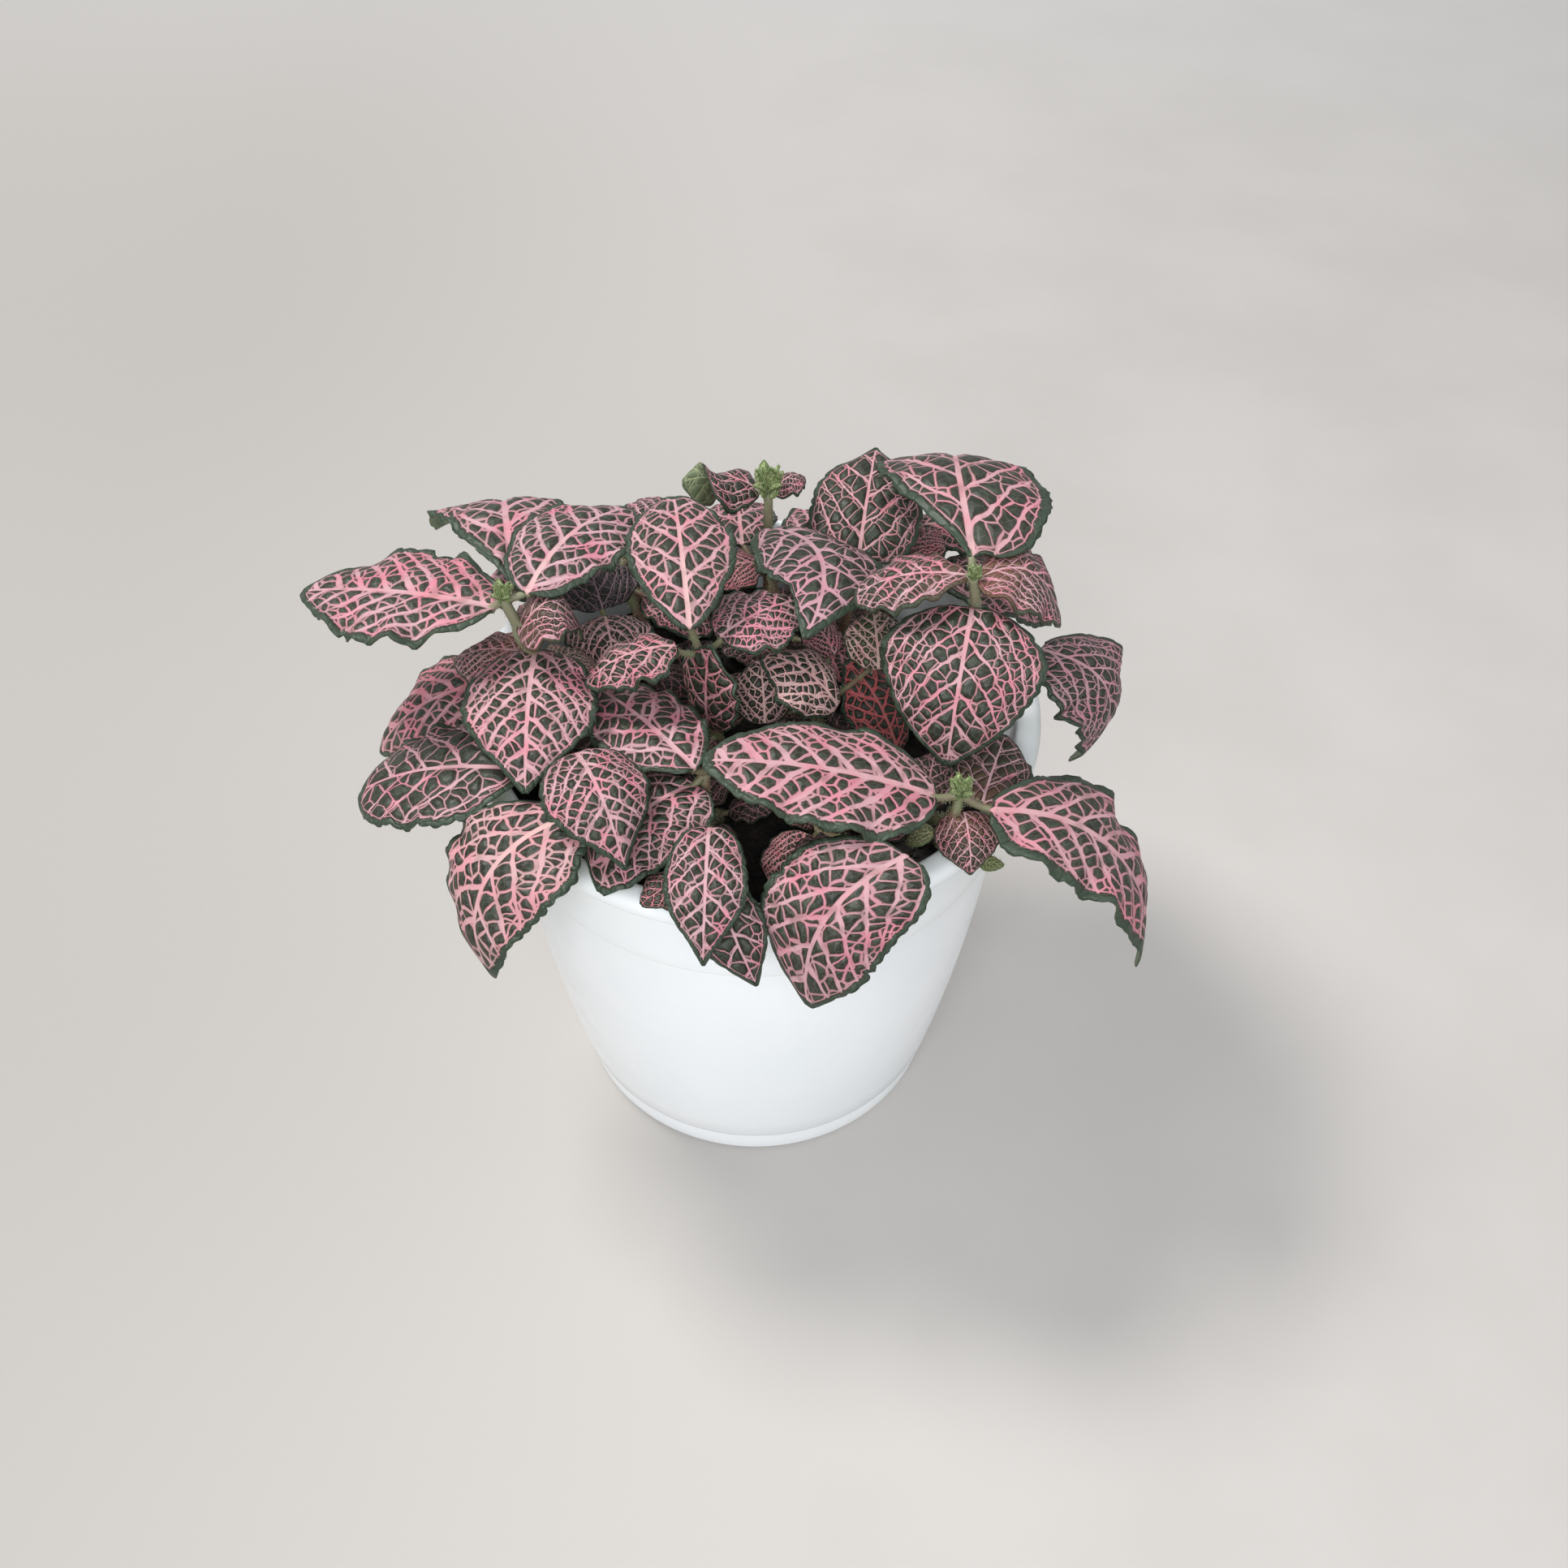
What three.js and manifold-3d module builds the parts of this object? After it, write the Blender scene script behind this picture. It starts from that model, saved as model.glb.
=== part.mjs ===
// Potted nerve plant: a white plastic pot with a clip-on tray, filled with potting soil and planted
// with a low, bushy nerve plant (Fittonia). Millimetres, +Z up, the front towards -Y.
// The origin is the middle of the tray's underside, the flat face that the pot stands on.
import * as THREE from "three";
import { mergeVertices } from "three/addons/utils/BufferGeometryUtils.js";
import Module from "manifold-3d";

const wasm = await Module();
wasm.setup();

// Pot
const potHeight = 116;
const rimRadius = 62.5; // outside of the flared lip
const rimInnerRadius = 57;
const collarBottom = 90; // where the plain collar under the lip meets the tapered body
const collarRadius = 57.4;
const collarTopRadius = 58.4;
const lipBottom = 111.6;
const bodyBottom = 8.4;
const bodyBottomRadius = 47.6;
const bodyTopRadius = 56.6;
const bodyBulge = 1.45; // how far the body's side swells between its ends
const wall = 1.8;
const plugRadius = 43.4; // the narrower base that stands inside the tray
const plugBottom = 2.6;
const floorTop = 5;
const drainHoles = 5;
const drainRadius = 3;
const drainCircle = 26;
const roundSides = 36;

// Tray
const trayHeight = 8;
const trayRadius = 46.6;
const trayFootRadius = 45.6;
const trayWall = 1.8;
const trayFloor = 2.2;

// Soil
const soilLevel = 99; // at the wall
const soilMound = 2.5; // how much higher it lies in the middle
const clearance = 0.35;
const holeDepth = 9;
const holeRadius = 2.8;

// Plant
const stemRadius = 1.3;
const petioleRadius = 0.85;
const petioleSink = 1.4; // how far a leaf's stalk runs into its blade
const bladeThickness = 0.7;
const crenation = 0.035; // how far every second point of the margin draws in, as a share of the half width
const rufflesPerLeaf = 3;
const fullness = 1.25; // above 1 the blade's ends are more pointed, below 1 blunter
const taperStart = 0.6; // where along the leaf its end starts to draw in
const smallLeaf = 16; // a leaf shorter than this has fewer faces

// A leaf: where its blade starts, where its tip is, and how wide it is. Arch lifts the middle of the
// midrib, sweep bows it to the left as seen along the leaf, roll turns the blade about its length in
// degrees (above zero lifts its left side), cup bends the margins (below zero is down), ruffle waves
// them, belly is where along the leaf it is widest, skew moves that towards the tip on the left side
// and back on the right, and taper draws the end in to a point.
function leaf(from, to, width, shape = {}) {
  const usual = { arch: 4, sweep: 0, roll: 0, cup: -2.5, ruffle: 0.6, belly: 0.44, taper: 0.35, skew: 0 };
  return { from, to, width, ...usual, ...shape };
}

// Each leafy stem: where it comes out of the soil, then its nodes from the soil up with the leaves
// that each one carries, and whether it ends in a bud of unopened leaves.
const shoots = [
  {
    name: "shoot_left",
    foot: [-24, 0],
    bud: true,
    nodes: [
      {
        at: [-45, -9, 136],
        leaves: [
          leaf([-45, -9, 137], [-45, -40, 128], 27, { cup: -3, belly: 0.36, taper: 0.5 }),
          leaf([-48, -4, 132], [-64, 0, 126], 17, { arch: 2, cup: -3 }),
          leaf([-42, -7, 132], [-35, 0, 126], 12, { arch: 2, cup: -2, ruffle: 0.4 }),
        ],
      },
      {
        at: [-48, -9, 145],
        leaves: [
          leaf([-47, -12, 144], [-35, -7, 143], 16, { arch: 7, cup: -3, ruffle: 1.0, belly: 0.4 }),
        ],
      },
      {
        at: [-50, -8, 150],
        leaves: [
          leaf([-52, -9, 149], [-94, 5, 141], 29, { arch: 2, cup: -1, ruffle: 1.2 }),
          leaf([-49, 0, 147], [-57, 44, 131], 35, {
            arch: 9, cup: -2, ruffle: 0.8, belly: 0.5, taper: 0.1, skew: 0.3,
          }),
          leaf([-45, -8, 152], [-27, 25, 147], 25, { arch: 3, sweep: 2, cup: -2, belly: 0.5 }),
        ],
      },
    ],
  },
  {
    name: "shoot_left_low",
    foot: [-30, -14],
    nodes: [
      {
        at: [-46, -15, 116],
        leaves: [
          leaf([-51, -1, 121], [-83, -5, 104], 29, { arch: 6, cup: -3, ruffle: 0.8 }),
          leaf([-47, -30, 124], [-83, -23, 110], 29, { roll: -4, cup: -2, belly: 0.5, taper: 0.1 }),
        ],
      },
    ],
  },
  {
    name: "shoot_front_left",
    foot: [-22, -26],
    nodes: [
      {
        at: [-37, -36, 118],
        leaves: [
          leaf([-36, -45, 127], [-54, -64, 101], 28, {
            arch: 6, sweep: -6, cup: -3, ruffle: 0.8, belly: 0.4,
          }),
        ],
      },
      {
        at: [-34, -32, 129],
        leaves: [
          leaf([-35, -34, 133], [-25, -56, 124], 21, { arch: 6, cup: -4, belly: 0.32, taper: 0.6 }),
        ],
      },
    ],
  },
  {
    name: "shoot_front",
    foot: [-8, -24],
    nodes: [
      {
        at: [-10, -36, 117],
        leaves: [
          leaf([-9, -50, 129], [-10, -72, 115], 16, { cup: -1.5, belly: 0.35, taper: 0.6 }),
          leaf([-9, -54, 121], [0, -71, 107], 13, { arch: 5, roll: 20, cup: -1, ruffle: 0.4, taper: 0.6 }),
          leaf([-14, -55, 119], [-22, -60, 118], 9, { arch: 1, cup: -0.5, ruffle: 0.3 }),
        ],
      },
      {
        at: [-10, -34, 127],
        leaves: [
          leaf([-12, -36, 126], [-30, -57, 118], 25, { arch: 2, sweep: -4, cup: -2, belly: 0.4 }),
          leaf([-12, -36, 131], [-34, -8, 126], 22, { arch: 2, cup: -2, belly: 0.5, taper: 0.2 }),
        ],
      },
    ],
  },
  {
    name: "shoot_centre",
    foot: [-6, -8],
    nodes: [
      {
        at: [-10, -9, 118],
        leaves: [
          leaf([-10, -14, 120], [-9, -13, 142], 17, { arch: 1, cup: -1.5, ruffle: 0.4, taper: 0.5 }),
        ],
      },
      {
        at: [-11, -9, 136],
        leaves: [
          leaf([-13, -13, 147], [-17, 21, 153], 22, { cup: -2, belly: 0.55, taper: 0.1 }),
          leaf([-16, -14, 143], [-34, -19, 137], 14, { arch: 3, cup: -3, ruffle: 1.0 }),
          leaf([-7, -9, 141], [10, 3, 140], 19, { arch: 2, cup: -2, belly: 0.4 }),
        ],
      },
    ],
  },
  {
    name: "shoot_mid_left",
    foot: [-20, 12],
    nodes: [
      {
        at: [-33, 15, 122],
        leaves: [
          leaf([-34, 19, 124], [-39, 33, 127], 20, { arch: 2, cup: -2 }),
          leaf([-33, 14, 126], [-30, -1, 124], 19, { arch: 3, cup: -2, taper: 0.2 }),
        ],
      },
    ],
  },
  {
    name: "shoot_back",
    foot: [2, 24],
    bud: true,
    nodes: [
      {
        at: [3, 32, 122],
        leaves: [
          leaf([10, 41, 124], [24, 64, 112], 18, { arch: 5 }),
          leaf([-3, 42, 124], [-5, 68, 112], 18, { arch: 6 }),
        ],
      },
      {
        at: [3, 35, 144],
        leaves: [
          leaf([1, 37, 143], [-16, 40, 143], 16, { arch: 3, cup: -4 }),
          leaf([4, 36, 143], [11, 43, 142], 8, { arch: 2, cup: -2 }),
        ],
      },
    ],
  },
  {
    name: "shoot_mid_back",
    foot: [8, 8],
    nodes: [
      {
        at: [6, 19, 116],
        leaves: [
          leaf([12, 17, 117], [26, 7, 112], 14, { arch: 2, cup: -2 }),
        ],
      },
      {
        at: [3, 27, 132],
        leaves: [
          leaf([4, 30, 138], [10, -15, 146], 26, { sweep: 7, cup: -4, taper: 0.6 }),
          leaf([1, 32, 126], [-10, 29, 122], 14, { arch: 3, cup: -2 }),
        ],
      },
    ],
  },
  {
    name: "shoot_mid_right",
    foot: [14, -8],
    nodes: [
      {
        at: [14, -5, 117],
        leaves: [
          leaf([2, -11, 118], [1, -1, 127], 14, { arch: 2, cup: -2 }),
          leaf([17, -14, 126], [2, -7, 134], 17, { arch: 3, cup: -3 }),
          leaf([26, -5, 128], [25, 7, 134], 14, { arch: 2, cup: -2 }),
          leaf([17, 4, 124], [11, 11, 127], 10, { arch: 2, cup: -2 }),
        ],
      },
    ],
  },
  {
    name: "shoot_back_right",
    foot: [18, 20],
    nodes: [
      {
        at: [22, 23, 125],
        leaves: [
          leaf([23, 26, 132], [28, 54, 142], 27, { arch: 3, cup: -3, belly: 0.38, taper: 0.7 }),
          leaf([34, 31, 128], [42, 39, 130], 13, { arch: 2, cup: -2 }),
        ],
      },
    ],
  },
  {
    name: "shoot_right",
    foot: [30, 8],
    bud: true,
    nodes: [
      {
        at: [33, 4, 110],
        leaves: [
          leaf([31, -10, 108], [20, 4, 122], 16, { arch: 3, cup: -2 }),
        ],
      },
      {
        at: [46, -3, 134],
        leaves: [
          leaf([59, -8, 136], [71, -16, 112], 25, { arch: 8, sweep: 5, cup: -3, ruffle: 1.2 }),
        ],
      },
      {
        at: [44, -9, 149],
        leaves: [
          leaf([43, -11, 150], [38, -33, 128], 32, { arch: 6, cup: -3, belly: 0.38, taper: 0.5 }),
        ],
      },
      {
        at: [43, -9, 156],
        leaves: [
          leaf([43, -4, 158], [45, 43, 145], 36, {
            arch: 9, sweep: 2, cup: -3, belly: 0.55, taper: 0, skew: 0.2,
          }),
          leaf([42, -8, 156], [20, -5, 148], 17, { arch: 3, cup: -2, belly: 0.6 }),
          leaf([44, -9, 156], [61, -11, 146], 21, { sweep: 5, cup: -2, ruffle: 1, belly: 0.5 }),
        ],
      },
    ],
  },
  {
    name: "shoot_right_front",
    foot: [30, -24],
    bud: true,
    nodes: [
      {
        at: [38, -41, 121],
        leaves: [
          leaf([41, -42, 124], [42, -52, 117], 13, {
            arch: 2, cup: -2, ruffle: 0.4, belly: 0.35, taper: 0.5,
          }),
          leaf([44, -48, 116], [49, -49, 116], 4, { arch: 0, cup: 0, ruffle: 0 }),
          leaf([35, -45, 121], [30, -44, 117], 6, { arch: 1, cup: 0, ruffle: 0 }),
        ],
      },
      {
        at: [40, -41, 128],
        leaves: [
          leaf([35, -42, 129], [-10, -41, 138], 29, { arch: 3, cup: -2, ruffle: 0.8, taper: 0.25 }),
          leaf([46, -44, 127], [82, -54, 92], 28, { arch: 8, sweep: 7, cup: -2, ruffle: 1.4 }),
          leaf([45, -38, 121], [52, -19, 122], 16, { arch: 1, cup: -2 }),
        ],
      },
    ],
  },
  {
    name: "shoot_front_right",
    foot: [12, -30],
    nodes: [
      {
        at: [24, -44, 116],
        leaves: [
          leaf([28, -58, 130], [10, -73, 103], 28, { arch: 6, sweep: -6, roll: -25, cup: -3, belly: 0.42 }),
          leaf([10, -37, 112], [5, -47, 104], 14, { arch: 2, cup: -2, ruffle: 0.3 }),
        ],
      },
    ],
  },
  {
    name: "shoot_rear_left",
    foot: [-22, 24],
    nodes: [
      {
        at: [-30, 34, 119],
        leaves: [
          leaf([-31, 41, 123], [-39, 69, 107], 23, { arch: 5 }),
          leaf([-38, 36, 121], [-67, 38, 109], 20, { arch: 6 }),
          leaf([-25, 28, 120], [-10, 20, 115], 14, { arch: 3, cup: -2 }),
        ],
      },
      {
        at: [-27, 37, 127],
        leaves: [
          leaf([-25, 41, 127], [-20, 61, 121], 17),
        ],
      },
    ],
  },
  {
    name: "shoot_rear_right",
    foot: [26, 28],
    nodes: [
      {
        at: [35, 37, 119],
        leaves: [
          leaf([37, 43, 123], [46, 67, 107], 22, { arch: 5 }),
          leaf([43, 33, 123], [70, 31, 109], 21, { arch: 5 }),
        ],
      },
      {
        at: [33, 42, 128],
        leaves: [
          leaf([31, 46, 130], [20, 66, 122], 17, { taper: 0.5 }),
          leaf([39, 45, 127], [60, 45, 121], 16, { arch: 3 }),
        ],
      },
    ],
  },
];

function material(color, roughness, metalness = 0) {
  return new THREE.MeshStandardMaterial({ color, roughness, metalness, side: THREE.DoubleSide });
}

const white = material(0xe9edee, 0.25);
const earth = material(0x2a211b, 0.95);
const foliage = material(0x4a5f50, 0.55);

// A closed geometry as a solid that can be joined and cut.
function solidFrom(geometry) {
  geometry.deleteAttribute("normal");
  geometry.deleteAttribute("uv");
  const merged = mergeVertices(geometry, 1e-4);
  const vertProperties = new Float32Array(merged.attributes.position.array);
  const triVerts = new Uint32Array(merged.index.array);
  return new wasm.Manifold(new wasm.Mesh({ numProp: 3, vertProperties, triVerts }));
}

function meshFrom(solid, name, look) {
  const { vertProperties, triVerts } = solid.getMesh();
  const geometry = new THREE.BufferGeometry();
  geometry.setAttribute("position", new THREE.BufferAttribute(new Float32Array(vertProperties), 3));
  geometry.setIndex(new THREE.BufferAttribute(new Uint32Array(triVerts), 1));
  geometry.computeVertexNormals();
  const mesh = new THREE.Mesh(geometry, look);
  mesh.name = name;
  return mesh;
}

// A solid of revolution about +Z from [radius, height] pairs.
function turned(profile) {
  const geometry = new THREE.LatheGeometry(
    profile.map(([radius, height]) => new THREE.Vector2(radius, height)),
    roundSides,
  );
  return solidFrom(geometry.rotateX(Math.PI / 2));
}

// A round solid of one radius along a smooth curve through the given points.
function cane(points, radius, sides, steps) {
  const section = new THREE.Shape();
  for (let i = 0; i < sides; i++) {
    const angle = (2 * Math.PI * i) / sides;
    const corner = [radius * Math.cos(angle), radius * Math.sin(angle)];
    if (i === 0) section.moveTo(...corner);
    else section.lineTo(...corner);
  }
  section.closePath();
  const extrudePath = new THREE.CatmullRomCurve3(points);
  return solidFrom(new THREE.ExtrudeGeometry(section, { steps, extrudePath, curveSegments: 1 }));
}

function upright(x, y, bottom, top, radius, sides) {
  const geometry = new THREE.CylinderGeometry(radius, radius, top - bottom, sides);
  geometry.rotateX(Math.PI / 2).translate(x, y, (top + bottom) / 2);
  return solidFrom(geometry);
}

// The body's outside between the tray and the collar, swollen a little between its ends.
function bodyRadius(height) {
  const t = (height - bodyBottom) / (collarBottom - bodyBottom);
  return bodyBottomRadius + (bodyTopRadius - bodyBottomRadius) * t + 4 * bodyBulge * t * (1 - t);
}

function makePot() {
  const heights = [0, 0.25, 0.5, 0.75, 1].map((t) => bodyBottom + t * (collarBottom - bodyBottom));
  const outside = heights.map((height) => [bodyRadius(height), height]);
  const inside = heights.slice(1, 4).map((height) => [bodyRadius(height) - wall, height]);
  let pot = turned([
    [0, plugBottom],
    [plugRadius - 1, plugBottom],
    [plugRadius, plugBottom + 1],
    [plugRadius, bodyBottom],
    ...outside,
    [collarRadius, collarBottom + 0.6],
    [collarTopRadius, lipBottom - 0.8],
    [rimRadius - 0.5, lipBottom],
    [rimRadius, lipBottom + 1],
    [rimRadius - 0.5, potHeight - 1.2],
    [rimRadius - 1.8, potHeight],
    [rimInnerRadius + 1.6, potHeight],
    [rimInnerRadius, potHeight - 1.4],
    [collarTopRadius - wall, lipBottom - 1.5],
    [collarRadius - wall, collarBottom],
    ...inside.reverse(),
    [bodyBottomRadius - wall, bodyBottom + wall + 0.6],
    [plugRadius - wall, bodyBottom + wall],
    [plugRadius - wall, floorTop],
    [0, floorTop],
  ]);
  for (let i = 0; i < drainHoles; i++) {
    const angle = (2 * Math.PI * i) / drainHoles;
    const [x, y] = [drainCircle * Math.cos(angle), drainCircle * Math.sin(angle)];
    pot = pot.subtract(upright(x, y, plugBottom - 1, floorTop + 1, drainRadius, 12));
  }
  return meshFrom(pot, "pot", white);
}

function makeTray() {
  const tray = turned([
    [0, 0],
    [trayFootRadius, 0],
    [trayRadius - 0.2, 1.2],
    [trayRadius, trayHeight - 0.6],
    [trayRadius - 0.5, trayHeight],
    [trayRadius - trayWall, trayHeight],
    [trayRadius - trayWall - 0.4, trayFloor],
    [0, trayFloor],
  ]);
  return meshFrom(tray, "base_tray", white);
}

function makeSoil() {
  const inset = wall + clearance;
  const heights = [0.75, 0.5, 0.25].map((t) => bodyBottom + t * (collarBottom - bodyBottom));
  let soil = turned([
    [0, floorTop + clearance],
    [plugRadius - inset, floorTop + clearance],
    [plugRadius - inset, bodyBottom + inset],
    [bodyBottomRadius - inset, bodyBottom + inset + 0.6],
    ...heights.reverse().map((height) => [bodyRadius(height) - inset, height]),
    [collarRadius - inset, collarBottom],
    [collarRadius - inset + 0.3, soilLevel],
    [collarRadius - 10, soilLevel + 0.6],
    [25, soilLevel + soilMound],
    [0, soilLevel + soilMound - 0.5],
  ]);
  for (const { foot } of shoots) {
    const [x, y] = foot;
    const top = soilLevel + soilMound + 5;
    soil = soil.subtract(upright(x, y, soilLevel - holeDepth, top, holeRadius, 6));
  }
  return meshFrom(soil, "soil", earth);
}

const point = ([x, y, z]) => new THREE.Vector3(x, y, z);

// The frame of a leaf: its straight line from base to tip, the level direction to its left, and the
// direction square to both, which is up for a level leaf and outwards for a hanging one.
function bladeFrame({ from, to, roll }) {
  const base = point(from);
  const line = point(to).sub(base);
  const length = line.length();
  const along = line.normalize();
  const left = new THREE.Vector3(0, 0, 1).cross(along).normalize();
  left.applyAxisAngle(along, THREE.MathUtils.degToRad(roll));
  const up = along.clone().cross(left);
  return { base, along, left, up, length };
}

// Half the blade's width at s, from 0 at the base to 1 at the tip, as a share of the widest. The sign
// of u tells the left side from the right.
function outline({ belly, taper, skew }, s, u) {
  const t = 0.015 + 0.97 * s;
  const widest = belly + skew * Math.sign(u);
  const full = (t / widest) ** (fullness * widest) * ((1 - t) / (1 - widest)) ** (fullness * (1 - widest));
  return full * (1 - taper * Math.max(0, (t - taperStart) / (1 - taperStart)) ** 2);
}

// The middle of the blade at s along the midrib and u across it, from -1 to 1 at the margins.
function bladePoint(blade, frame, s, u) {
  const { width, arch, sweep, cup, ruffle } = blade;
  const bow = 4 * s * (1 - s);
  const reach = outline(blade, s, u);
  const wave = ruffle * Math.sin(2 * Math.PI * rufflesPerLeaf * s) * u * Math.abs(u) * reach;
  const across = sweep * bow + (width / 2) * reach * u;
  const lift = arch * bow + cup * Math.abs(u) ** 1.8 * reach + wave;
  return frame.base
    .clone()
    .addScaledVector(frame.along, frame.length * s)
    .addScaledVector(frame.left, across)
    .addScaledVector(frame.up, lift);
}

function bladeNormal(blade, frame, s, u) {
  const step = 0.02;
  const [s0, s1] = [Math.max(0, s - step), Math.min(1, s + step)];
  const forward = bladePoint(blade, frame, s1, u).sub(bladePoint(blade, frame, s0, u));
  const sideways = bladePoint(blade, frame, s, u + step).sub(bladePoint(blade, frame, s, u - step));
  return forward.cross(sideways).normalize();
}

// A thin closed blade with a crenate margin, split into triangles alike on both faces.
function bladeSolid(blade) {
  const frame = bladeFrame(blade);
  const rows = THREE.MathUtils.clamp(Math.round(frame.length / 5) + 2, 5, 8);
  const columns = frame.length < smallLeaf ? 3 : 5;
  const positions = [];
  for (const side of [0.5, -0.5])
    for (let i = 0; i < rows; i++)
      for (let j = 0; j < columns; j++) {
        const s = i / (rows - 1);
        const margin = j === 0 || j === columns - 1;
        const inward = margin && i % 2 === 0 ? 1 - crenation : 1;
        const u = ((2 * j) / (columns - 1) - 1) * inward;
        const offset = bladeNormal(blade, frame, s, u).multiplyScalar(side * bladeThickness);
        positions.push(...bladePoint(blade, frame, s, u).add(offset));
      }
  const top = (i, j) => i * columns + j;
  const bottom = (i, j) => rows * columns + i * columns + j;
  const index = [];
  const quad = (a, b, c, d) => index.push(a, b, c, a, c, d);
  for (let i = 0; i < rows - 1; i++)
    for (let j = 0; j < columns - 1; j++) {
      quad(top(i, j), top(i + 1, j), top(i + 1, j + 1), top(i, j + 1));
      const under = [bottom(i, j), bottom(i, j + 1), bottom(i + 1, j + 1), bottom(i + 1, j)];
      index.push(under[0], under[2], under[3], under[0], under[1], under[2]);
    }
  for (let i = 0; i < rows - 1; i++) {
    const last = columns - 1;
    quad(top(i, 0), bottom(i, 0), bottom(i + 1, 0), top(i + 1, 0));
    quad(top(i + 1, last), bottom(i + 1, last), bottom(i, last), top(i, last));
  }
  for (let j = 0; j < columns - 1; j++) {
    const last = rows - 1;
    quad(top(0, j + 1), bottom(0, j + 1), bottom(0, j), top(0, j));
    quad(top(last, j), bottom(last, j), bottom(last, j + 1), top(last, j + 1));
  }
  const geometry = new THREE.BufferGeometry();
  geometry.setAttribute("position", new THREE.Float32BufferAttribute(positions, 3));
  geometry.setIndex(index);
  return solidFrom(geometry);
}

// The leaf's stalk, from its node to a little way under the blade's midrib.
function petioleSolid(node, blade) {
  const frame = bladeFrame(blade);
  const end = bladePoint(blade, frame, petioleSink / frame.length, 0);
  const start = point(node);
  const middle = start.clone().lerp(end, 0.55).addScaledVector(frame.up, -0.08 * start.distanceTo(end));
  return cane([start, middle, end], petioleRadius, 4, 2);
}

// Two unopened leaves pressed together at the end of a stem.
function budLeaves([x, y, z]) {
  const tip = [x, y - 1, z + 8];
  const options = { arch: 1.2, cup: -1, ruffle: 0 };
  return [
    leaf([x + 0.8, y - 0.6, z - 1], tip, 4.5, options),
    leaf([x - 0.8, y + 1.2, z - 1], [x - 1, y + 2.5, z + 6.5], 4, options),
  ];
}

function makeShoot({ name, foot, nodes, bud }) {
  const [x, y] = foot;
  const bottom = new THREE.Vector3(x, y, soilLevel - holeDepth + 2);
  const collar = new THREE.Vector3(x, y, soilLevel + soilMound + 1);
  const path = [bottom, collar, ...nodes.map(({ at }) => point(at))];
  let shoot = cane(path, stemRadius, 5, 2 * (path.length - 1));
  for (const { at, leaves } of nodes)
    for (const blade of leaves) shoot = shoot.add(petioleSolid(at, blade)).add(bladeSolid(blade));
  if (bud) for (const blade of budLeaves(nodes.at(-1).at)) shoot = shoot.add(bladeSolid(blade));
  return meshFrom(shoot, name, foliage);
}

const plant = new THREE.Group();
plant.add(...shoots.map(makeShoot));

const pottedPlant = new THREE.Group();
pottedPlant.add(makeTray(), makePot(), makeSoil(), plant);

export default pottedPlant;
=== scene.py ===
import math
import random
from functools import partial

import bpy
import numpy as np
from mathutils import Matrix, Vector


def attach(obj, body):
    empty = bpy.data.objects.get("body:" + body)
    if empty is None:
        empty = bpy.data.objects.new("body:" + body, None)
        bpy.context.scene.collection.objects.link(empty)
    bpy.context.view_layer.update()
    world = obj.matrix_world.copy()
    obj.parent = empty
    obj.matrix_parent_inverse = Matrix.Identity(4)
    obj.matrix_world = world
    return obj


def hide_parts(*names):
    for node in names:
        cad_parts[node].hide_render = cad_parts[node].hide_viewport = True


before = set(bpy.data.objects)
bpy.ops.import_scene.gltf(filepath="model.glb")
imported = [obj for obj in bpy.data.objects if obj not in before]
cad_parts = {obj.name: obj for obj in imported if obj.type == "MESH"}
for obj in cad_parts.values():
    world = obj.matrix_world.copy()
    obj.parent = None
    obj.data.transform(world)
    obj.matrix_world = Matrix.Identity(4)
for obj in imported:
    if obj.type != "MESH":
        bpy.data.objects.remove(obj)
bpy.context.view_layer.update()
print("frame loaded:", len(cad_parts), "nodes")

mm = 0.001  # sizes are in millimetres, apart from the lights, the floor and the noise scales


# Colours are written as 0 to 255, as a colour picker shows them.
def tint(red, green, blue):
    def linear(value):
        share = value / 255
        return share / 12.92 if share <= 0.04045 else ((share + 0.055) / 1.055) ** 2.4
    return (linear(red), linear(green), linear(blue), 1.0)


def plug(tree, socket, value):
    if isinstance(value, bpy.types.NodeSocket):
        tree.links.new(value, socket)
    elif value is not None:
        socket.default_value = value


def addNode(tree, kind, inputs=None, **settings):
    node = tree.nodes.new(kind)
    for key, value in settings.items():
        setattr(node, key, value)
    for key, value in (inputs or {}).items():
        plug(tree, node.inputs[key], value)
    return node


def maths(tree, operation, *values):
    node = addNode(tree, "ShaderNodeMath", operation=operation)
    for socket, value in zip(node.inputs, values):
        plug(tree, socket, value)
    return node.outputs[0]


# A smooth step from one value to another.
def ramp(tree, value, low, high, outLow=0.0, outHigh=1.0):
    inputs = {"Value": value, "From Min": low, "From Max": high, "To Min": outLow, "To Max": outHigh}
    return addNode(tree, "ShaderNodeMapRange", inputs, interpolation_type="SMOOTHSTEP").outputs["Result"]


# Nothing up to the first limit and the given share from the second one on.
def patches(tree, value, limits):
    low, high, most = limits
    return ramp(tree, value, low, high, 0.0, most)


# Lays colours over the first one, each by its own share.
def layered(tree, colour, *layers):
    for share, over in layers:
        node = addNode(tree, "ShaderNodeMix", {"Factor": share}, data_type="RGBA", blend_type="MIX")
        plug(tree, node.inputs[6], colour)
        plug(tree, node.inputs[7], over)
        colour = node.outputs[2]
    return colour


def joinXyz(tree, x, y, z):
    return addNode(tree, "ShaderNodeCombineXYZ", {"X": x, "Y": y, "Z": z}).outputs[0]


def splitXyz(tree, vector):
    return addNode(tree, "ShaderNodeSeparateXYZ", {"Vector": vector}).outputs


def splitAttribute(tree, name):
    found = addNode(tree, "ShaderNodeAttribute", attribute_name=name, attribute_type="GEOMETRY")
    return tuple(splitXyz(tree, found.outputs["Vector"]))


def objectPlace(tree):
    return addNode(tree, "ShaderNodeTexCoord").outputs["Object"]


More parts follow.
